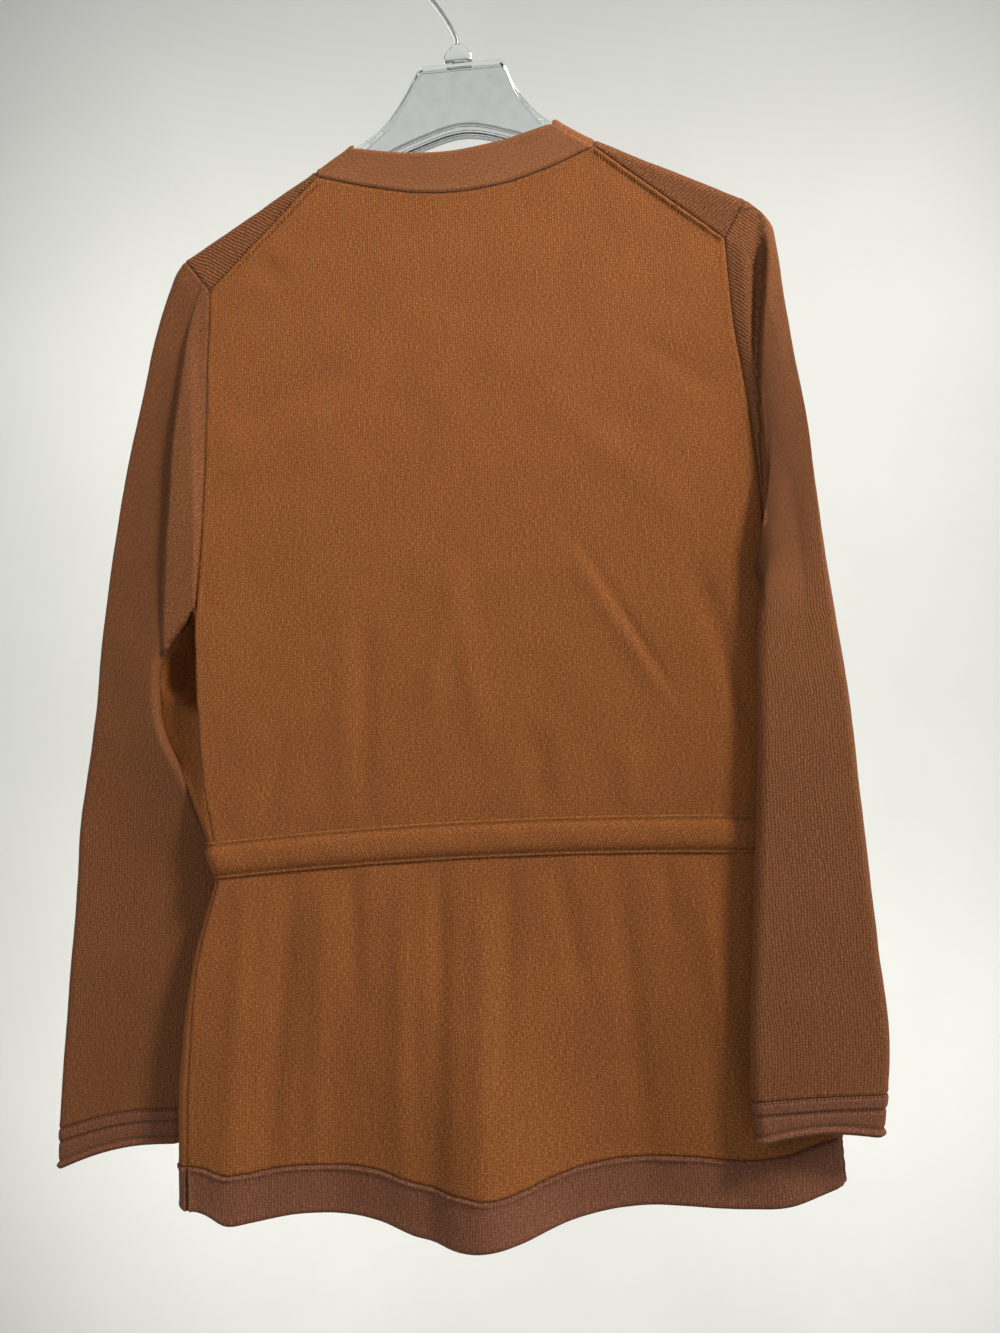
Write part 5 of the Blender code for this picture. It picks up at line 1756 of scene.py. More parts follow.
    def lean_strip(self, rows: Grid, shares: list[float], maps: list, middle: int) -> None:
        """Turn the knit map on the strip of cap, whose wales run aslant there.

        Args:
            rows: The rings of points.
            shares: Each ring's share.
            maps: The knit map, which is changed.
            middle: The column of the ridge.
        """
        for row, share, line in zip(rows, shares, maps):
            for c in range(middle):
                weight = self.strip_weight(row[c], max(share, 0.05))
                if weight > 0.5:
                    x, _, z = row[c]
                    line[c] = (0.7 * (x * self.side.sign + z), 0.7 * (x * self.side.sign - z))


# ---------------------------------------------------------------- relief of the pieces

# Painted shade: how dark the seam with each neighbour is, for the shade in its groove
PAINTED_SEAM_SHADES = {"neck_band": 0.8, "hem_band": 0.5, "cuff": 0.35, "front_band": 0.45,
               "sleeve": 0.3, "front": 0.35, "back": 0.35}


def seam_shade(info: EdgeInfo, width: float = 0.8) -> np.ndarray:
    """The painted shade in each seam, a dark line set by the piece on its other side.

    Args:
        info: The piece's edges.
        width: The line's half width.

    Returns:
        The painted shade at each point.
    """
    depth = np.zeros(len(info.sewn))
    for k, other in enumerate(info.neighbour):
        depth[k] = next((v for name, v in PAINTED_SEAM_SHADES.items() if other.startswith(name)), 0.0)
    return depth * bell(info.sewn, 0.0, width)


def pucker(info: EdgeInfo, height: float) -> np.ndarray:
    """Small gathers along a seam."""
    wave = np.array([noise.noise(Vector(place) / 4.5) for place in info.place])
    return height * wave * bell(info.sewn, 1.5, 2.6)


@dataclass(frozen=True)
class Profile:
    """The relief along the edges of one kind of piece.

    Each bump has a height, a distance from the edge and a width in millimetres.
    """

    sewn: Rows                   # bumps along the seams
    free: Rows = ()              # bumps along the free edges
    gather: float = 0.0          # height of the small gathers along a seam

    def plain(self, info: EdgeInfo) -> Relief:
        """The relief with no stitches.

        Args:
            info: The piece's edges.

        Returns:
            Its relief.
        """
        height = np.zeros(len(info.sewn))
        for far, bumps in ((info.sewn, self.sewn), (info.free, self.free)):
            for top, middle, width in bumps:
                height = height + top * bell(far, middle, width)
        return Relief(height + pucker(info, self.gather), np.full(len(info.sewn), FAR),
                      seam_shade(info))


@dataclass(frozen=True)
class BackProfile(Profile):
    """The back's relief: a raised shoulder seam with its marks."""

    shoulder_z: float = -240.0   # the fronts' seams lie on the back above this
    shoulder_bump: tuple[float, float, float] = (1.1, 1.7, 1.1)
    stitch_line: float = 4.4     # from the shoulder seam to its row of stitches
    # Painted shade in the seam under the neck band: how dark, how wide
    neck_shade: tuple[float, float] = (0.8, 1.0)       # how dark, how wide

    def plain(self, info: EdgeInfo) -> Relief:
        """The relief with the shoulder seams in it.

        Args:
            info: The piece's edges.

        Returns:
            Its relief.
        """
        relief = super().plain(info)
        top, middle, width = self.shoulder_bump
        depth, reach = self.neck_shade
        for k, other in enumerate(info.neighbour):
            _, y, z = info.place[k]
            if other.startswith("front_") and z > self.shoulder_z and y > 0.0:
                relief.height[k] += top * bell(info.sewn[k], middle, width)
                relief.stitches[k] = abs(info.sewn[k] - self.stitch_line)
            elif other == "neck_band":
                relief.shade[k] = depth * bell(info.sewn[k], 0.0, reach)
        return relief


@dataclass(frozen=True)
class CuffProfile(Profile):
    """A cuff's relief: a welt between two rows of stitches, and a rolled end, with painted shade
    in its seam and its creases.
    """

    rows: tuple[float, float] = (1.0, 8.0)             # from the seam to each row
    stitch_soft: float = 0.4     # the rows show less than those at the shoulders
    # Painted shade in the seam and in the crease under the second row: how dark, where, how wide
    seam_shades: Rows = ((0.12, 0.2, 0.7), (0.1, 9.6, 1.1))
    # Painted shade in the crease above the rolled end
    end_shade: tuple[float, float, float] = (0.38, 5.4, 0.7)

    def plain(self, info: EdgeInfo) -> Relief:
        """The relief with its rows of stitches and its painted shade.

        Args:
            info: The piece's edges.

        Returns:
            Its relief.
        """
        height = super().plain(info).height
        near = [np.abs(info.sewn - row) for row in self.rows]
        depth, middle, width = self.end_shade
        shade = depth * bell(info.free, middle, width)
        for depth, middle, width in self.seam_shades:
            shade = np.maximum(shade, depth * bell(info.sewn, middle, width))
        return Relief(height, np.minimum(*near) + self.stitch_soft, shade)


BACK_PROFILE = BackProfile(((-0.55, 0.0, 0.9), (0.2, 2.6, 1.4)), ((-0.6, 0.0, 0.8),), 0.5)
FRONT_PROFILE = Profile(((-0.55, 0.0, 0.9), (0.2, 2.6, 1.4)), gather=0.4)
SLEEVE_PROFILE = Profile(((-0.6, 0.0, 0.9), (0.25, 2.4, 1.2)), gather=0.4)
CUFF_PROFILE = CuffProfile(
    ((-0.6, 0.0, 0.8), (0.6, 2.8, 1.8), (0.5, 6.2, 2.0), (-0.75, 9.6, 1.2)),
    ((1.5, 2.5, 1.8), (-0.7, 5.6, 1.0), (-0.7, 0.0, 0.9)))
# The hem band has a raised top edge and a rounded foot
HEM_PROFILE = Profile(((-0.8, 0.0, 0.8), (1.3, 2.0, 1.3)), ((0.5, 3.2, 2.4), (-0.7, 0.0, 0.9)),
                      0.7)
# The neck and front bands are folded double, so both edges are round
BAND_PROFILE = Profile(((-0.6, 0.0, 0.9), (0.35, 2.6, 1.8)), ((0.3, 3.0, 2.2), (-0.7, 0.0, 0.9)))


# ---------------------------------------------------------------- lofts

def loft(name: str, sections: list[list[Sequence[float]]],
         along: float = 1.0) -> bpy.types.Object:
    """Join a run of closed sections into one body with closed ends.

    Args:
        name: The object's name.
        sections: Closed rings of points in millimetres, all of one count.
        along: Millimetres of knit map for each section.

    Returns:
        The object.
    """
    count = len(sections[0])
    points = [place for section in sections for place in section]
    around = row_lengths([np.array(p) for p in sections[0]] + [np.array(sections[0][0])])
    faces = []
    maps = []
    for r in range(len(sections) - 1):
        for k in range(count):
            n = (k + 1) % count
            faces.append([r * count + k, (r + 1) * count + k, (r + 1) * count + n,
                          r * count + n])
            a, b = float(around[k]), float(around[k + 1])
            maps.append([(a, r * along), (a, (r + 1) * along), (b, (r + 1) * along),
                         (b, r * along)])
    last = (len(sections) - 1) * count
    faces.append(list(range(count)))
    faces.append([last + k for k in reversed(range(count))])
    maps.append([(float(p[0]), float(p[2])) for p in sections[0]])
    maps.append([(float(p[0]), float(p[2])) for p in reversed(sections[-1])])
    thing = mesh_object(name, points, faces, maps)
    make_outward(thing)
    return thing


def crisp(thing: bpy.types.Object, angle: float = 34.0) -> bpy.types.Object:
    """Keep a moulding's edges sharp where its faces meet at more than an angle."""
    thing.data.set_sharp_from_angle(angle=math.radians(angle))
    return thing


def make_outward(thing: bpy.types.Object) -> None:
    """Turn a closed mesh's faces outward, by the sign of its volume.

    Args:
        thing: The object, whose mesh is changed.
    """
    mesh = thing.data
    volume = 0.0
    for face in mesh.polygons:
        corners = [mesh.vertices[k].co for k in face.vertices]
        for a, b in zip(corners[1:], corners[2:]):
            volume += corners[0].dot(a.cross(b))
    if volume < 0.0:
        mesh.flip_normals()


# ---------------------------------------------------------------- casing and tie

@dataclass
class WaistCasing:
    """The padded tunnel round the waist that the tie runs in."""

    torso: Torso
    lip: float = 1.0             # thickness of its flat sewn edges
    puff: float = 2.7            # how far its middle stands out
    gap: float = 0.3
    pucker: float = 0.45
    stitch_line: float = 2.6     # from the edge to the row of stitches
    sink: float = 0.25           # how deep that row lies in the lip
    sink_start: float = 1.4      # from the edge to where the lip starts to sink
    edge_share: float = 0.45     # thickness of the lip's very edge
    edge_round: float = 1.2      # over this the lip comes to its thickness
    fill: tuple[float, float] = (1.3, 0.7)   # how soon and how squarely it swells
    # Gathers: length and width of the grain, height, and a shift
    gathers: Rows = ((13.0, 1.3, 1.0, 0.0), (6.0, 2.0, 0.5, 9.0))

    def rise(self, share: float, far: float) -> float:
        """Height of the casing over the body.

        Args:
            share: From its upper edge, 0, to its lower one, 1.
            far: Distance along it in millimetres.

        Returns:
            The height in millimetres.
        """
        height = self.torso.form.casing_height
        edge = min(share, 1.0 - share) * height
        if edge < self.stitch_line:
            lip = self.lip * min(self.edge_share + edge / self.edge_round, 1.0)
            return lip - self.sink * step(edge - self.sink_start)
        inside = (edge - self.stitch_line) / (height / 2.0 - self.stitch_line)
        soon, square = self.fill
        swell = math.sin(min(inside * soon, 1.0) * math.pi / 2.0) ** square
        gather = sum(top * noise.noise(Vector((far / size, share * wide, shift)))
                     for size, wide, top, shift in self.gathers)
        return self.lip - self.sink + (self.puff + self.pucker * gather) * swell

    def build(self, fabric: Fabric, back: Grid, fronts: list[Grid]) -> bpy.types.Object:
        """Lay the casing on the body's own points.

        Args:
            fabric: The whole surface, with its outward directions.
            back: The grid of the back.
            fronts: The grids of the left and right front.

        Returns:
            The casing.
        """
        torso = self.torso
        arm_rows = len(torso.arm_marks) - 1
        tops = []
        feet = []
        maps = []
        for k, share in enumerate(torso.casing_marks):
            level = torso.first_casing + k
            around = list(reversed(fronts[0][torso.top_rows + level]))
            around += back[arm_rows + level][1:]
            around += fronts[1][torso.top_rows + level][1:]
            out = [fabric.normals[fabric.point(place)] for place in around]
            far = row_lengths(around)
            tops.append([p + n * (self.gap + self.rise(share, d))
                         for p, n, d in zip(around, out, far)])
            feet.append([p + n * self.gap for p, n in zip(around, out)])
            maps.append([(float(d), -share * torso.form.casing_height) for d in far])
        piece = closed_sheet("waist_casing_knit", tops, feet, maps)
        edge = [min(share, 1.0 - share) * torso.form.casing_height
                for share in torso.casing_marks for _ in tops[0]]
        # Painted shade in the sunk row of stitches along each lip
        shade = 0.4 * bell(np.array(edge + edge), self.stitch_line, 0.8)
        store(piece, "seam_shade", shade)
        store(piece, "stitch_row", np.full(len(shade), FAR))
        return piece


def closed_sheet(name: str, tops: Grid, feet: Grid, maps: list) -> bpy.types.Object:
    """Close two matching grids of points, and the walls between their edges.

    Args:
        name: The object's name.
        tops: Points of the outer side.
        feet: Points of the inner side.
        maps: For each point its place on the knit.

    Returns:
        The object.
    """
    rows = len(tops)
    columns = len(tops[0])
    lower = rows * columns
    points = [p for row in tops for p in row] + [p for row in feet for p in row]
    faces = []
    flat = []
    for r in range(rows - 1):
        for c in range(columns - 1):
            around = [(r, c), (r + 1, c), (r + 1, c + 1), (r, c + 1)]
            ids = [i * columns + j for i, j in around]
            faces.append(ids)
            flat.append([maps[i][j] for i, j in around])
            faces.append([lower + k for k in reversed(ids)])
            flat.append([maps[i][j] for i, j in reversed(around)])
    border = [(0, c) for c in range(columns - 1)]
    border += [(r, columns - 1) for r in range(rows - 1)]
    border += [(rows - 1, c) for c in range(columns - 1, 0, -1)]
    border += [(r, 0) for r in range(rows - 1, 0, -1)]
    for (i, j), (m, n) in zip(border, border[1:] + border[:1]):
        a, b = i * columns + j, m * columns + n
        faces.append([a, b, lower + b, lower + a])
        flat.append([maps[i][j], maps[m][n], maps[m][n], maps[i][j]])
    piece = mesh_object(name, points, faces, flat)
    make_outward(piece)
    return piece


@dataclass
class FrontTie:
    """The tie, which comes out of the casing's ends, is knotted and hangs down."""

    torso: Torso
    width: float = 10.0
    thick: float = 2.8
    lay: float = 0.6
    drop: float = 160.0
    splay: float = 12.0
    gap: float = 0.3             # between the knot and the rest
    narrow: float = 2.6          # how much narrower the tie gets at the knot
    tail_root: float = 6.4       # width of a tail where it leaves the knot
    knot_half: tuple[float, float, float] = (7.2, 8.5, 8.0)   # across, tall, deep
    root: float = 3.6            # where the tails leave the knot
    grooves: tuple[float, float] = (-2.8, 3.4)         # where the wrap's edges cross it

    def middle(self) -> float:
        """Height of the casing's middle at the fronts."""
        return self.torso.form.casing_top(0.0) - self.torso.form.casing_height / 2.0

    def section(self, x: float, z: float, wide: float, thick: float,
                upright: bool, turn: float) -> list[tuple[float, float, float]]:
        """A rounded flat section of the tie, standing off the front bands.

        Args:
            x: Where across.
            z: Where up.
            wide: Its width.
            thick: Its thickness.
            upright: True where the tie runs sideways.
            turn: How far it is twisted, in radians.

        Returns:
            The ring of points.
        """
        form = self.torso.form
        ring = []
        y = form.front_y(x, z) - self.lay - thick / 2.0
        count = 16
        for k in range(count):
            angle = math.tau * k / count
            across = bent(math.cos(angle), 0.6) * wide / 2.0
            deep = bent(math.sin(angle), 0.8) * thick / 2.0
            side = across * math.cos(turn) - deep * math.sin(turn)
            out = across * math.sin(turn) + deep * math.cos(turn)
            ring.append((x, y + out, z + side) if upright else (x + side, y + out, z))
        return ring

    def run(self, side: SideForm) -> bpy.types.Object:
        """The short length between the casing's end and the knot.

        Args:
            side: Which side of the garment.

        Returns:
            The piece.
        """
        z = self.middle()
        band = self.torso.front_band + self.torso.front_gap / 2.0
        start = side.sign * (band - self.gap)
        end = side.sign * (self.knot_half[0] + self.gap)
        sections = []
        count = 24
        for k in range(count + 1):
            share = k / count
            wide = self.width - self.narrow * step((share - 0.45) / 0.5)
            thick = self.thick + 0.35 * math.sin(share * 9.0)
            sections.append(self.section(mix(start, end, share), z, wide, thick, True,
                                         0.06 * math.sin(share * 5.0)))
        return loft(f"tie_{side.name}_knit", sections, along=1.1)

    def tail(self, side: SideForm) -> bpy.types.Object:
        """One hanging end, with a small sewn tip.

        Args:
            side: Which side of the garment.

        Returns:
            The piece.
        """
        top = self.middle() - self.knot_half[1] - self.gap
        sections = []
        count = 90
        for k in range(count + 1):
            share = k / count
            x = side.sign * (self.root + self.splay * share) + 0.9 * math.sin(share * 7.0)
            z = top - self.drop * share
            wide = mix(self.tail_root, self.width, step(share / 0.16))
            wide += 0.3 * math.sin(share * 23.0)
            tip = step((1.0 - share) * self.drop / 3.0)
            thick = self.thick * (0.55 + 0.45 * tip) + 0.25 * math.sin(share * 31.0)
            turn = 0.14 * math.sin(share * 6.0 + side.sign)
            sections.append(self.section(x, z, wide * (0.9 + 0.1 * tip), thick, False, turn))
        return loft(f"tie_tail_{side.name}_knit", sections, along=self.drop / count)

    def knot(self) -> bpy.types.Object:
        """The knot, a rounded body with the wrap's grooves across it.

        Returns:
            The piece.
        """
        half_x, half_z, deep = self.knot_half
        z0 = self.middle()
        back = self.torso.form.front_y(1.0, z0) - self.lay
        sections = []
        rings, count = 24, 36
        for r in range(rings + 1):
            across = -1.0 + 2.0 * r / rings
            swell = 1.0 - 0.32 * abs(across) ** 3.2
            ring = []
            for k in range(count):
                angle = math.tau * k / count
                c, s = bent(math.cos(angle), 0.75), bent(math.sin(angle), 0.75)
                x = across * half_x
                z = c * half_z * swell
                y = deep / 2.0 * (1.0 + s * swell)
                for offset in self.grooves:
                    groove = math.exp(-((x - 0.45 * z - offset) / 0.7) ** 2)
                    if s > -0.2:
                        y -= 0.9 * groove
                        z *= 1.0 - 0.05 * groove
                ring.append((x, back - max(y, 0.0), z0 + z))
            sections.append(ring)
        return loft("tie_knot_knit", sections, along=0.6)


# ---------------------------------------------------------------- hanger

@dataclass
class Hanger:
    """The clear moulded hanger, its collar and its wire hook."""

    ridge: Ridge
    plate_line: Rows = ((-75, -130.2), (-71, -127.8), (-56, -113), (-46, -97), (-40.5, -82),
                        (-38, -79.3), (18, -79.3), (21, -82), (30, -97), (43, -115), (61, -129.5),
                        (72, -135.7))
    foot_line: Rows = ((-188, -206), (-150, -192), (-110, -173), (-80, -157), (-45, -142),
                       (-10, -133), (25, -141), (70, -160), (110, -180), (150, -202), (188, -219))
    arm_tip: float = 188.0
    drop: float = 2.8
    rim_half: float = 5.0
    plate_half: float = 3.6
    web_half: float = 1.4
    rim_height: float = 3.0
    rib_up: float = 8.8          # a rib runs this far above the foot
    rib_half: float = 2.6
    thicken: tuple[float, float] = (50.0, 22.0)        # from this x, over this length
    columns: int = 150           # sections along the arms
    stem: Rows = ((-8, -65.6), (-7.6, -61), (-5.6, -55.5), (-1.5, -47), (3, -39), (8.3, -31),
                  (12.8, -24))
    wire: float = 1.5
    hook_radius: float = 16.0
    hook_turn: tuple[float, float] = (-15.0, 200.0)
    stem_x: float = -8.0
    # Collar from its foot up: z, half width, half depth
    collar: Rows = ((-79, 9.6, 4.1), (-78.6, 10, 4.5), (-75, 10, 4.5), (-74, 9.7, 4.3),
                    (-70, 6.7, 3.9), (-66.6, 3.6, 3.4), (-66, 3, 3))

    def section(self, x: float) -> list[tuple[float, float, float]]:
        """Outline of the hanger across its arm: a round rim, a web and a foot.

        Args:
            x: Where across.

        Returns:
            The ring of points.
        """
        plate = self.plate_line[0][0] <= x <= self.plate_line[-1][0]
        top = self.plate.at(x) if plate else self.ridge.curve.at(x) - self.drop
        foot = self.foot.at(x)
        start, run = self.thicken
        half = mix(self.plate_half, self.rim_half, step((abs(x) - start) / run))
        side = []
        count = 6
        for k in range(count + 1):
            angle = math.pi / 2.0 * k / count
            side.append((half * math.sin(angle), top - half * (1.0 - math.cos(angle))))
        rib = foot + self.rib_up
        side += [(half * 0.8, top - half - 0.7), (self.web_half, top - half - 1.2),
                 (self.web_half, max(rib + 1.2, foot + self.rim_height + 1.6)),
                 (self.rib_half, max(rib, foot + self.rim_height + 1.4)),
                 (self.web_half, max(rib - 1.2, foot + self.rim_height + 1.2)),
                 (self.web_half, foot + self.rim_height + 1.0),
                 (self.plate_half * 0.8, foot + self.rim_height + 0.5),
                 (self.plate_half, foot + self.rim_height * 0.6), (self.plate_half * 0.8, foot)]
        mirrored = [(-y, z) for y, z in reversed(side[1:])]
        return [(x, y, z) for y, z in side + mirrored]

    def body(self) -> bpy.types.Object:
        """The arms and the neck plate.

        Returns:
            The moulding.
        """
        self.plate = Curve(self.plate_line)
        self.foot = Curve(self.foot_line)
        places = {round(-self.arm_tip + 2.0 * self.arm_tip * k / self.columns, 2)
                  for k in range(self.columns + 1)}
        places |= {row[0] for row in self.plate_line}
        return crisp(loft("hanger_body_moulding", [self.section(x) for x in sorted(places)]))

    def collar_piece(self) -> bpy.types.Object:
        """The block that holds the wire.

        Returns:
            The moulding.
        """
        rings = []
        for z, wide, deep in self.collar:
            ring = []
            count = 24
            for k in range(count):
                angle = math.tau * (k + 0.5) / count
                c, s = bent(math.cos(angle), 0.35), bent(math.sin(angle), 0.35)
                ring.append((self.stem_x + wide * c, deep * s, z))
            rings.append(ring)
        return crisp(loft("hanger_collar_moulding", rings))

    def hook(self) -> bpy.types.Object:
        """The wire, from the collar round the loop to its rounded tip.

        Returns:
            The wire.
        """
        path = [(x, z) for x, z in self.stem]
        center = self.wire - self.hook_radius
        steps = 60
        for k in range(steps + 1):
            angle = math.radians(mix(*self.hook_turn, k / steps))
            path.append((self.hook_radius * math.cos(angle),
                         center + self.hook_radius * math.sin(angle)))
        sections = []
        for k, (x, z) in enumerate(path):
            behind = path[max(k - 1, 0)]
            ahead = path[min(k + 1, len(path) - 1)]
            run = Vector((ahead[0] - behind[0], ahead[1] - behind[1])).normalized()
            sections.append(self.wire_ring(x, z, run, self.wire))
        for k in (1, 2, 3):      # the rounded tip
            angle = math.pi / 2.0 * k / 3.2
            go = self.wire * math.sin(angle)
            sections.append(self.wire_ring(x + run.x * go, z + run.y * go, run,
                                           self.wire * math.cos(angle)))
        return crisp(loft("hanger_hook_wire", sections))

    def wire_ring(self, x: float, z: float, run: Vector,
                  radius: float) -> list[tuple[float, float, float]]:
        """A ring of points across the wire at a place, square to its run.

        Args:
            x: Where across.
            z: Where up.
            run: The wire's direction in x and z.
            radius: The ring's radius.

        Returns:
            The ring of points.
        """
        ring = []
        count = 14
        for k in range(count):
            angle = math.tau * k / count
            across = radius * math.cos(angle)
            ring.append((x + run.y * across, radius * math.sin(angle), z - run.x * across))
        return ring


# ---------------------------------------------------------------- studio

@dataclass(frozen=True)
class Lamp:
    """A round area light."""

    name: str
    place: tuple[float, float, float]
    aim: tuple[float, float, float]
    size: float
    watts: float
    color: str
    spread: float = 180.0        # degrees

    def add(self) -> None:
        """Put the light in the scene."""
        light = bpy.data.lights.new(self.name, "AREA")
        light.shape = "DISK"
        light.size = self.size * MM
        light.energy = self.watts
        light.spread = math.radians(self.spread)
        light.color = linear_rgb(self.color)[:3]
        thing = bpy.data.objects.new(self.name, light)
        thing.location = Vector(self.place) * MM
        toward = Vector(self.aim) - Vector(self.place)
        thing.rotation_euler = toward.to_track_quat("-Z", "Y").to_euler()
        bpy.context.collection.objects.link(thing)


@dataclass
class Studio:
    """The pale ground behind and below, the lights and the camera."""

    wall_y: float = -5200.0
    floor_z: float = -5600.0
    reach: float = 9000.0
    sweep: float = 900.0
    camera_place: tuple[float, float, float] = (-57.0, 700.0, -537.0)
    yaw: float = 3.56            # degrees
    pitch: float = 2.01
    roll: float = -3.23
    focal: float = 27.03
    sensor: float = 36.0
    lamps: Sequence[Lamp] = (
        Lamp("high_softbox", (-1350.0, 1000.0, 950.0), (80.0, 0.0, -250.0), 420.0, 10.3,
             "#fff6ea", 76.0),
        Lamp("fill_panel", (1500.0, 1700.0, 300.0), (0.0, 0.0, -500.0), 1500.0, 12.5, "#f4f5ff"),
        Lamp("front_panel", (1800.0, -1300.0, 500.0), (0.0, 0.0, -500.0), 1200.0, 30.0,
             "#fff9f2"),
        Lamp("side_panel", (-2200.0, 500.0, 250.0), (-150.0, 0.0, -350.0), 700.0, 23.0,
             "#e6ecff"),
    )
    # Four washes on the wall, two high and two low: name, side, height, height aimed at
    washes: Sequence[tuple] = (("wall_wash_a", 1.0, 1900.0, 900.0),
                               ("wall_wash_b", -1.0, 1900.0, 900.0),
                               ("wall_wash_c", 1.0, -3000.0, -2000.0),
                               ("wall_wash_d", -1.0, -3000.0, -2000.0))
    wash_place: tuple[float, float] = (2800.0, -2200.0)      # x and y
    wash_aim: float = 700.0      # how far past the middle each wash is aimed
    wash_size: float = 900.0
    wash_watts: float = 70.0
    wash_color: str = "#fffef8"
    sky: str = "#eef0f2"
    sky_strength: float = 0.36

    def ground(self) -> None:
        """A floor that sweeps up into a wall."""
        profile = [(self.reach, self.floor_z)]
        steps = 12
        for k in range(steps + 1):
            angle = math.pi / 2.0 * k / steps
            profile.append((self.wall_y + self.sweep * (1.0 - math.sin(angle)),
                            self.floor_z + self.sweep * (1.0 - math.cos(angle))))
        profile.append((self.wall_y, self.reach))
        points = [(x, y, z) for y, z in profile for x in (self.reach, -self.reach)]
        faces = [[2 * k, 2 * k + 1, 2 * k + 3, 2 * k + 2] for k in range(len(profile) - 1)]
        mesh = bpy.data.meshes.new("studio_ground")
        mesh.from_pydata([tuple(v * MM for v in p) for p in points], [], faces)
        mesh.shade_smooth()
        mesh.materials.append(PaintedBoardFinish().make())
        thing = bpy.data.objects.new("studio_ground", mesh)
        bpy.context.collection.objects.link(thing)

    def light(self) -> None:
        """Area lights, and an even pale surround."""
        across, out = self.wash_place
        walls = [Lamp(name, (side * across, out, z), (-side * self.wash_aim, self.wall_y, aim),
                      self.wash_size, self.wash_watts, self.wash_color)
                 for name, side, z, aim in self.washes]
        for lamp in (*self.lamps, *walls):
            lamp.add()
        world = bpy.data.worlds.new("studio_surround")
        world.use_nodes = True
        ground = world.node_tree.nodes["Background"]
        ground.inputs["Color"].default_value = linear_rgb(self.sky)
        ground.inputs["Strength"].default_value = self.sky_strength
        bpy.context.scene.world = world
        bpy.context.scene.view_settings.view_transform = "Standard"

    def camera(self) -> None:
        """The photograph's camera, which faces the garment's back."""
        right = Vector((-1.0, 0.0, 0.0))
        up = Vector((0.0, 0.0, 1.0))
        ahead = Vector((0.0, -1.0, 0.0))
        turn = Matrix.Rotation(math.radians(self.yaw), 3, "Z")
        right, ahead = turn @ right, turn @ ahead
        c, s = math.cos(math.radians(self.pitch)), math.sin(math.radians(self.pitch))
        ahead, up = ahead * c + up * s, up * c - ahead * s
        c, s = math.cos(math.radians(self.roll)), math.sin(math.radians(self.roll))
        right, up = right * c + up * s, up * c - right * s
        lens = bpy.data.cameras.new("photograph_camera")
        lens.sensor_width = self.sensor
        lens.lens = self.focal
        lens.clip_start = 0.01
        thing = bpy.data.objects.new("photograph_camera", lens)
        matrix = Matrix((right, up, -ahead)).transposed().to_4x4()
        matrix.translation = Vector(self.camera_place) * MM
        thing.matrix_world = matrix
        bpy.context.collection.objects.link(thing)
        bpy.context.scene.camera = thing


# ---------------------------------------------------------------- the whole cardigan

BODY_KNIT = KnitFinish("heathered_viscose_jersey", "#8d5429", "#643415", "#b27a45")
STRIP_KNIT = KnitFinish("heathered_viscose_ribbed_jersey", "#875331", "#5d341a", "#ab7a4e",
                        wale=2.3, relief=0.4, valley=0.4)
# The sleeves are knitted from the body's yarn: their stronger ribs are real, their darker yarn
# colour is painted shade
SLEEVE_KNIT_PAINTED_SHADE = KnitFinish("heathered_viscose_sleeve_jersey", "#82502f", "#5b341a", "#a87447",
                         wale=2.0, relief=0.26, valley=0.2)
# The bands are knitted from the body's yarn: their stronger ribs are real, their darker, greyer
# yarn colour is painted shade
BAND_KNIT_PAINTED_SHADE = KnitFinish("heathered_viscose_double_band", "#80513a", "#5b3723", "#a67654",
                       relief=0.2, valley=0.16)
FLAT_KNIT = KnitFinish("heathered_viscose_flat_band", "#865434", "#633c20", "#a87749",
                       relief=0.08, valley=0.03)


def dress(piece: bpy.types.Object, material: bpy.types.Material, slot: Slot,
          *nodes: str) -> bpy.types.Object:
    """Give a piece its material and say which nodes it stands for.

    Args:
        piece: The new object.
        material: Its finish.
        slot: Not used.
        nodes: CAD nodes that it replaces.

    Returns:
        The piece.
    """
    piece.data.materials.clear()
    piece.data.materials.append(material)
    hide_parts(*nodes)
    log.info("%s stands for %s", piece.name, ", ".join(nodes))
    return piece


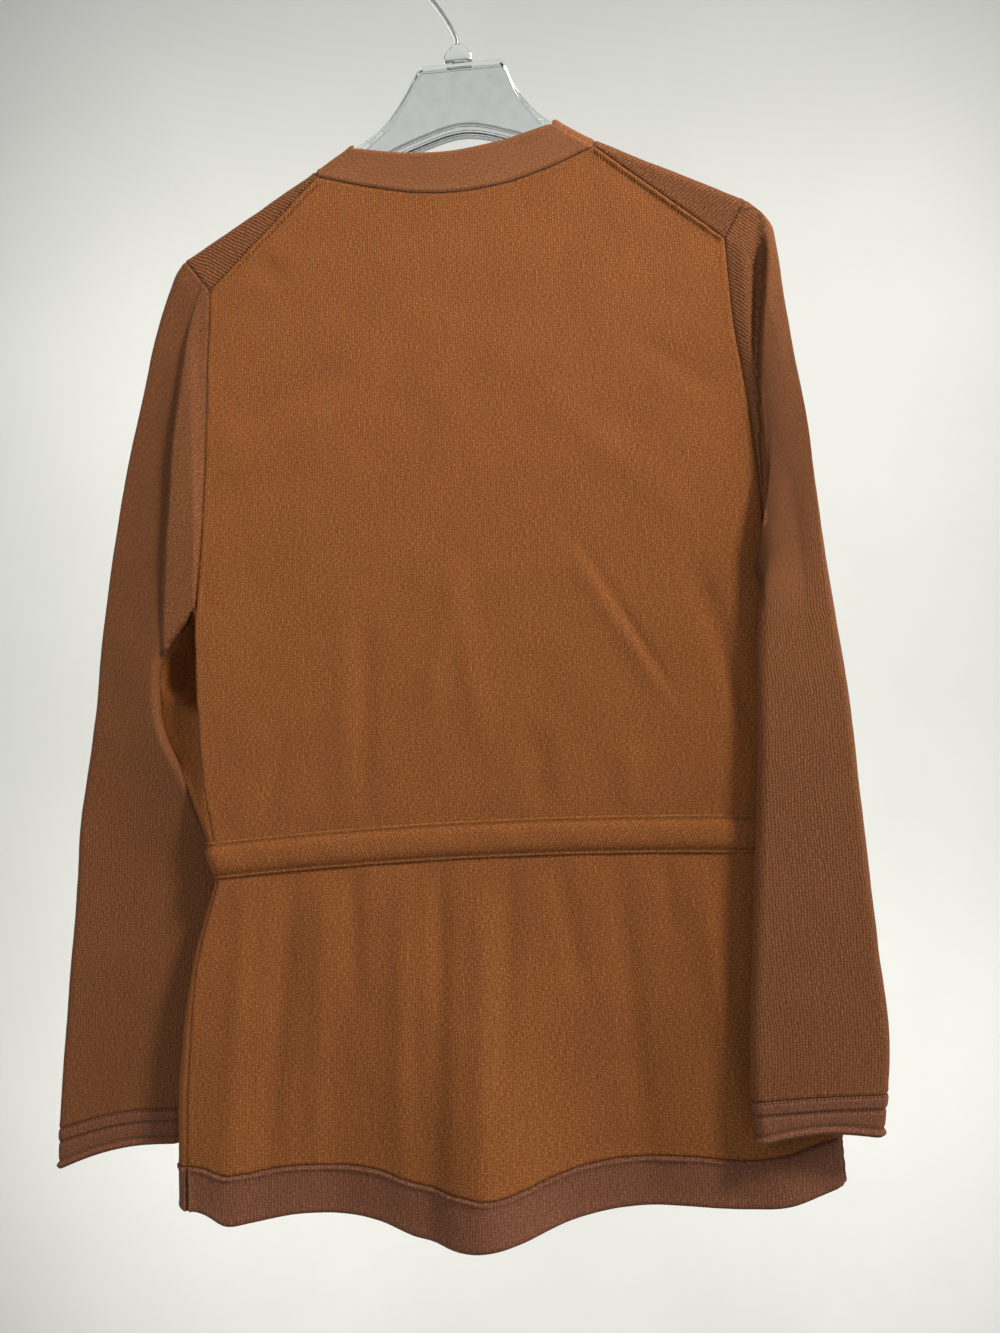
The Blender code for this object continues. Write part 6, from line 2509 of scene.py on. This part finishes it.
@dataclass
class Cardigan:
    """All the knitted pieces of the garment."""

    torso: Torso = field(default_factory=Torso)
    # Cut of each kind of piece: flat width and length in millimetres, and the share of
    # that rectangle which the shaped piece takes
    cuts: dict[str, tuple[float, float, float]] = field(default_factory=lambda: {
        "back": (430.0, 720.0, 0.88), "front_band": (34.0, 790.0, 1.0),
        "front": (250.0, 790.0, 0.6), "sleeve": (262.0, 570.0, 0.75),
        "cuff": (190.0, 30.0, 1.0), "hem_band_back": (480.0, 34.0, 1.0),
        "hem_band": (230.0, 32.0, 1.0), "neck_band": (190.0, 34.0, 1.0),
    })
    strip_place: tuple[float, float] = (1.0, -240.0)   # y and z over which a front is ribbed
    casing_cut: tuple[float, float, float] = (30.0, 860.0, 1.0)
    run_cut: tuple[float, float, float] = (12.0, 27.0, 1.0)
    tail_width: float = 12.0
    # How much the outward direction turns down, at the underarm and the rows above it
    crotch_turns: tuple[float, float, float] = (2.2, 1.6, 1.0)

    def lay_out(self) -> tuple[Fabric, Grid, list[Grid]]:
        """Lay out the whole surface.

        Returns:
            The fabric, the grid of the back, and the grids of the two fronts.
        """
        torso = self.torso
        fabric = Fabric()
        sides = (LEFT_SIDE, RIGHT_SIDE)
        fronts = [torso.front_grid(side) for side in sides]
        back = torso.back_grid(fronts)
        hem_row = len(torso.arm_marks) - 1 + torso.hem_level
        middle = (len(back[0]) - 1) / 2.0
        reference = row_lengths(back[len(torso.arm_marks)])
        across = [float(reference[c] - reference[int(middle)]) for c in range(len(reference))]
        maps = [[(-across[c], float(place[2])) for c, place in enumerate(row)] for row in back]
        fabric.add_grid(back, maps, lambda r: "back" if r < hem_row else "hem_band_back", False)
        front_hem = torso.top_rows + torso.hem_level
        for side, grid in zip(sides, fronts):
            left = side.hand is Hand.LEFT
            name = side.name
            fabric.add_grid(grid, torso.front_maps(side, grid),
                            lambda r: ("front_" if r < front_hem else "hem_band_") + name, left)
            band = [torso.band_row(row[-1], side) for row in grid]
            fabric.add_grid(band, torso.band_maps(band), lambda r: "front_band_" + name, left)
            arm_rows = len(torso.arm_marks)
            arm = [row[0 if left else -1] for row in back[:arm_rows]]
            outer = [row[0] for row in grid[:torso.top_rows + 1]]
            back_ring = list(reversed(outer[1:torso.ridge_rows + 1])) + arm
            sleeve = Sleeve(side, torso)
            rings, ring_maps, cuff = sleeve.grid(back_ring, outer[torso.ridge_rows:])
            fabric.add_grid(rings, ring_maps,
                            lambda r: ("sleeve_" if r < cuff else "cuff_") + name, left)
        first = len(fronts[0][0]) - 1
        seam = back[0][first:first + torso.neck_columns + 1]
        ends = [torso.band_row(grid[0][-1], side) for grid, side in zip(fronts, sides)]
        neck = torso.neck_rows(seam, ends)
        fabric.add_grid(neck, torso.band_maps(neck), lambda r: "neck_band", False)
        crotches = [(grid[torso.top_rows - k][0], weight) for grid in fronts
                    for k, weight in enumerate(self.crotch_turns)]
        fabric.settle(crotches)
        return fabric, back, fronts

    def build(self) -> None:
        """Make and dress every knitted piece."""
        fabric, back, fronts = self.lay_out()
        knits = {finish: finish.make()
                 for finish in (BODY_KNIT, SLEEVE_KNIT_PAINTED_SHADE, BAND_KNIT_PAINTED_SHADE, FLAT_KNIT, STRIP_KNIT)}
        profiles = {"back": BACK_PROFILE, "front_band": BAND_PROFILE, "front": FRONT_PROFILE,
                    "sleeve": SLEEVE_PROFILE, "cuff": CUFF_PROFILE, "hem": HEM_PROFILE,
                    "neck": BAND_PROFILE}
        for name in fabric.faces:
            banded = "band" in name or "cuff" in name
            wall = self.torso.band_wall if banded else self.torso.wall
            profile = next(p for kind, p in profiles.items() if name.startswith(kind))
            piece = fabric.shell(name, wall, profile.plain)
            finish = BODY_KNIT
            if name.startswith(("neck", "front_band")):
                finish = FLAT_KNIT
            elif banded:
                finish = BAND_KNIT_PAINTED_SHADE
            elif name.startswith("sleeve"):
                finish = SLEEVE_KNIT_PAINTED_SHADE
            dress(piece, knits[finish], Slot.BAND if banded else Slot.KNIT, name)
            if name in ("front_left", "front_right"):
                self.rib_the_strip(piece, knits[STRIP_KNIT])
            cut = next(cut for kind, cut in self.cuts.items() if name.startswith(kind))
            self.declare(piece, *cut)
        casing = WaistCasing(self.torso).build(fabric, back, fronts)
        dress(casing, knits[BODY_KNIT], Slot.KNIT, "waist_casing")
        self.declare(casing, *self.casing_cut, "laid", ["back", "front_left", "front_right"])
        tie = FrontTie(self.torso)
        for side in (LEFT_SIDE, RIGHT_SIDE):
            run = dress(tie.run(side), knits[BAND_KNIT_PAINTED_SHADE], Slot.KNIT, "tie_" + side.name)
            self.declare(run, *self.run_cut, "stretched", ["waist_casing"])
            tail = dress(tie.tail(side), knits[BAND_KNIT_PAINTED_SHADE], Slot.KNIT, "tie_tail_" + side.name)
            self.declare(tail, self.tail_width, tie.drop, 1.0, "hung", ["tie_knot"])
            for piece in (run, tail):
                self.no_seams(piece)
        knot = dress(tie.knot(), knits[BAND_KNIT_PAINTED_SHADE], Slot.KNIT, "tie_knot")
        self.no_seams(knot)

    def declare(self, piece: bpy.types.Object, width: float, length: float, share: float,
                held: str = "hung", rests_on: Sequence[str] = ("hanger_body",)) -> None:
        """Take what size a piece was cut to and what holds it, and do nothing with them.

        Args:
            piece: The piece; not used.
            width: Width of its flat rectangle in millimetres; not used.
            length: Length of that rectangle; not used.
            share: How much of the rectangle the shaped piece takes; not used.
            held: How it is held; not used.
            rests_on: The nodes that hold it.
        """
        list(rests_on)

    def rib_the_strip(self, piece: bpy.types.Object, material: bpy.types.Material) -> None:
        """Give the part of a front that lies on the back its ribbed finish.

        Args:
            piece: The front.
            material: The ribbed finish.
        """
        mesh = piece.data
        mesh.materials.append(material)
        least_y, least_z = self.strip_place
        for face in mesh.polygons:
            center = face.center / MM
            if center.y > least_y and center.z > least_z:
                face.material_index = 1

    def no_seams(self, piece: bpy.types.Object) -> None:
        """Mark a piece as having no seam or stitch row on it.

        Args:
            piece: The piece.
        """
        count = len(piece.data.vertices)
        store(piece, "seam_shade", np.zeros(count))
        store(piece, "stitch_row", np.full(count, FAR))


def main() -> None:
    """Build the garment, the hanger and the studio."""
    logging.basicConfig(level=logging.INFO, format="%(name)s: %(message)s")
    Cardigan().build()
    hanger = Hanger(Ridge())
    plastic = ClearStyreneFinish().make()
    dress(hanger.body(), plastic, Slot.CLEAR, "hanger_body")
    dress(hanger.collar_piece(), plastic, Slot.CLEAR, "hanger_collar")
    dress(hanger.hook(), PlatedWireFinish().make(), Slot.STEEL, "hanger_hook")
    studio = Studio()
    studio.ground()
    studio.light()
    studio.camera()


if __name__ == "__main__":
    main()
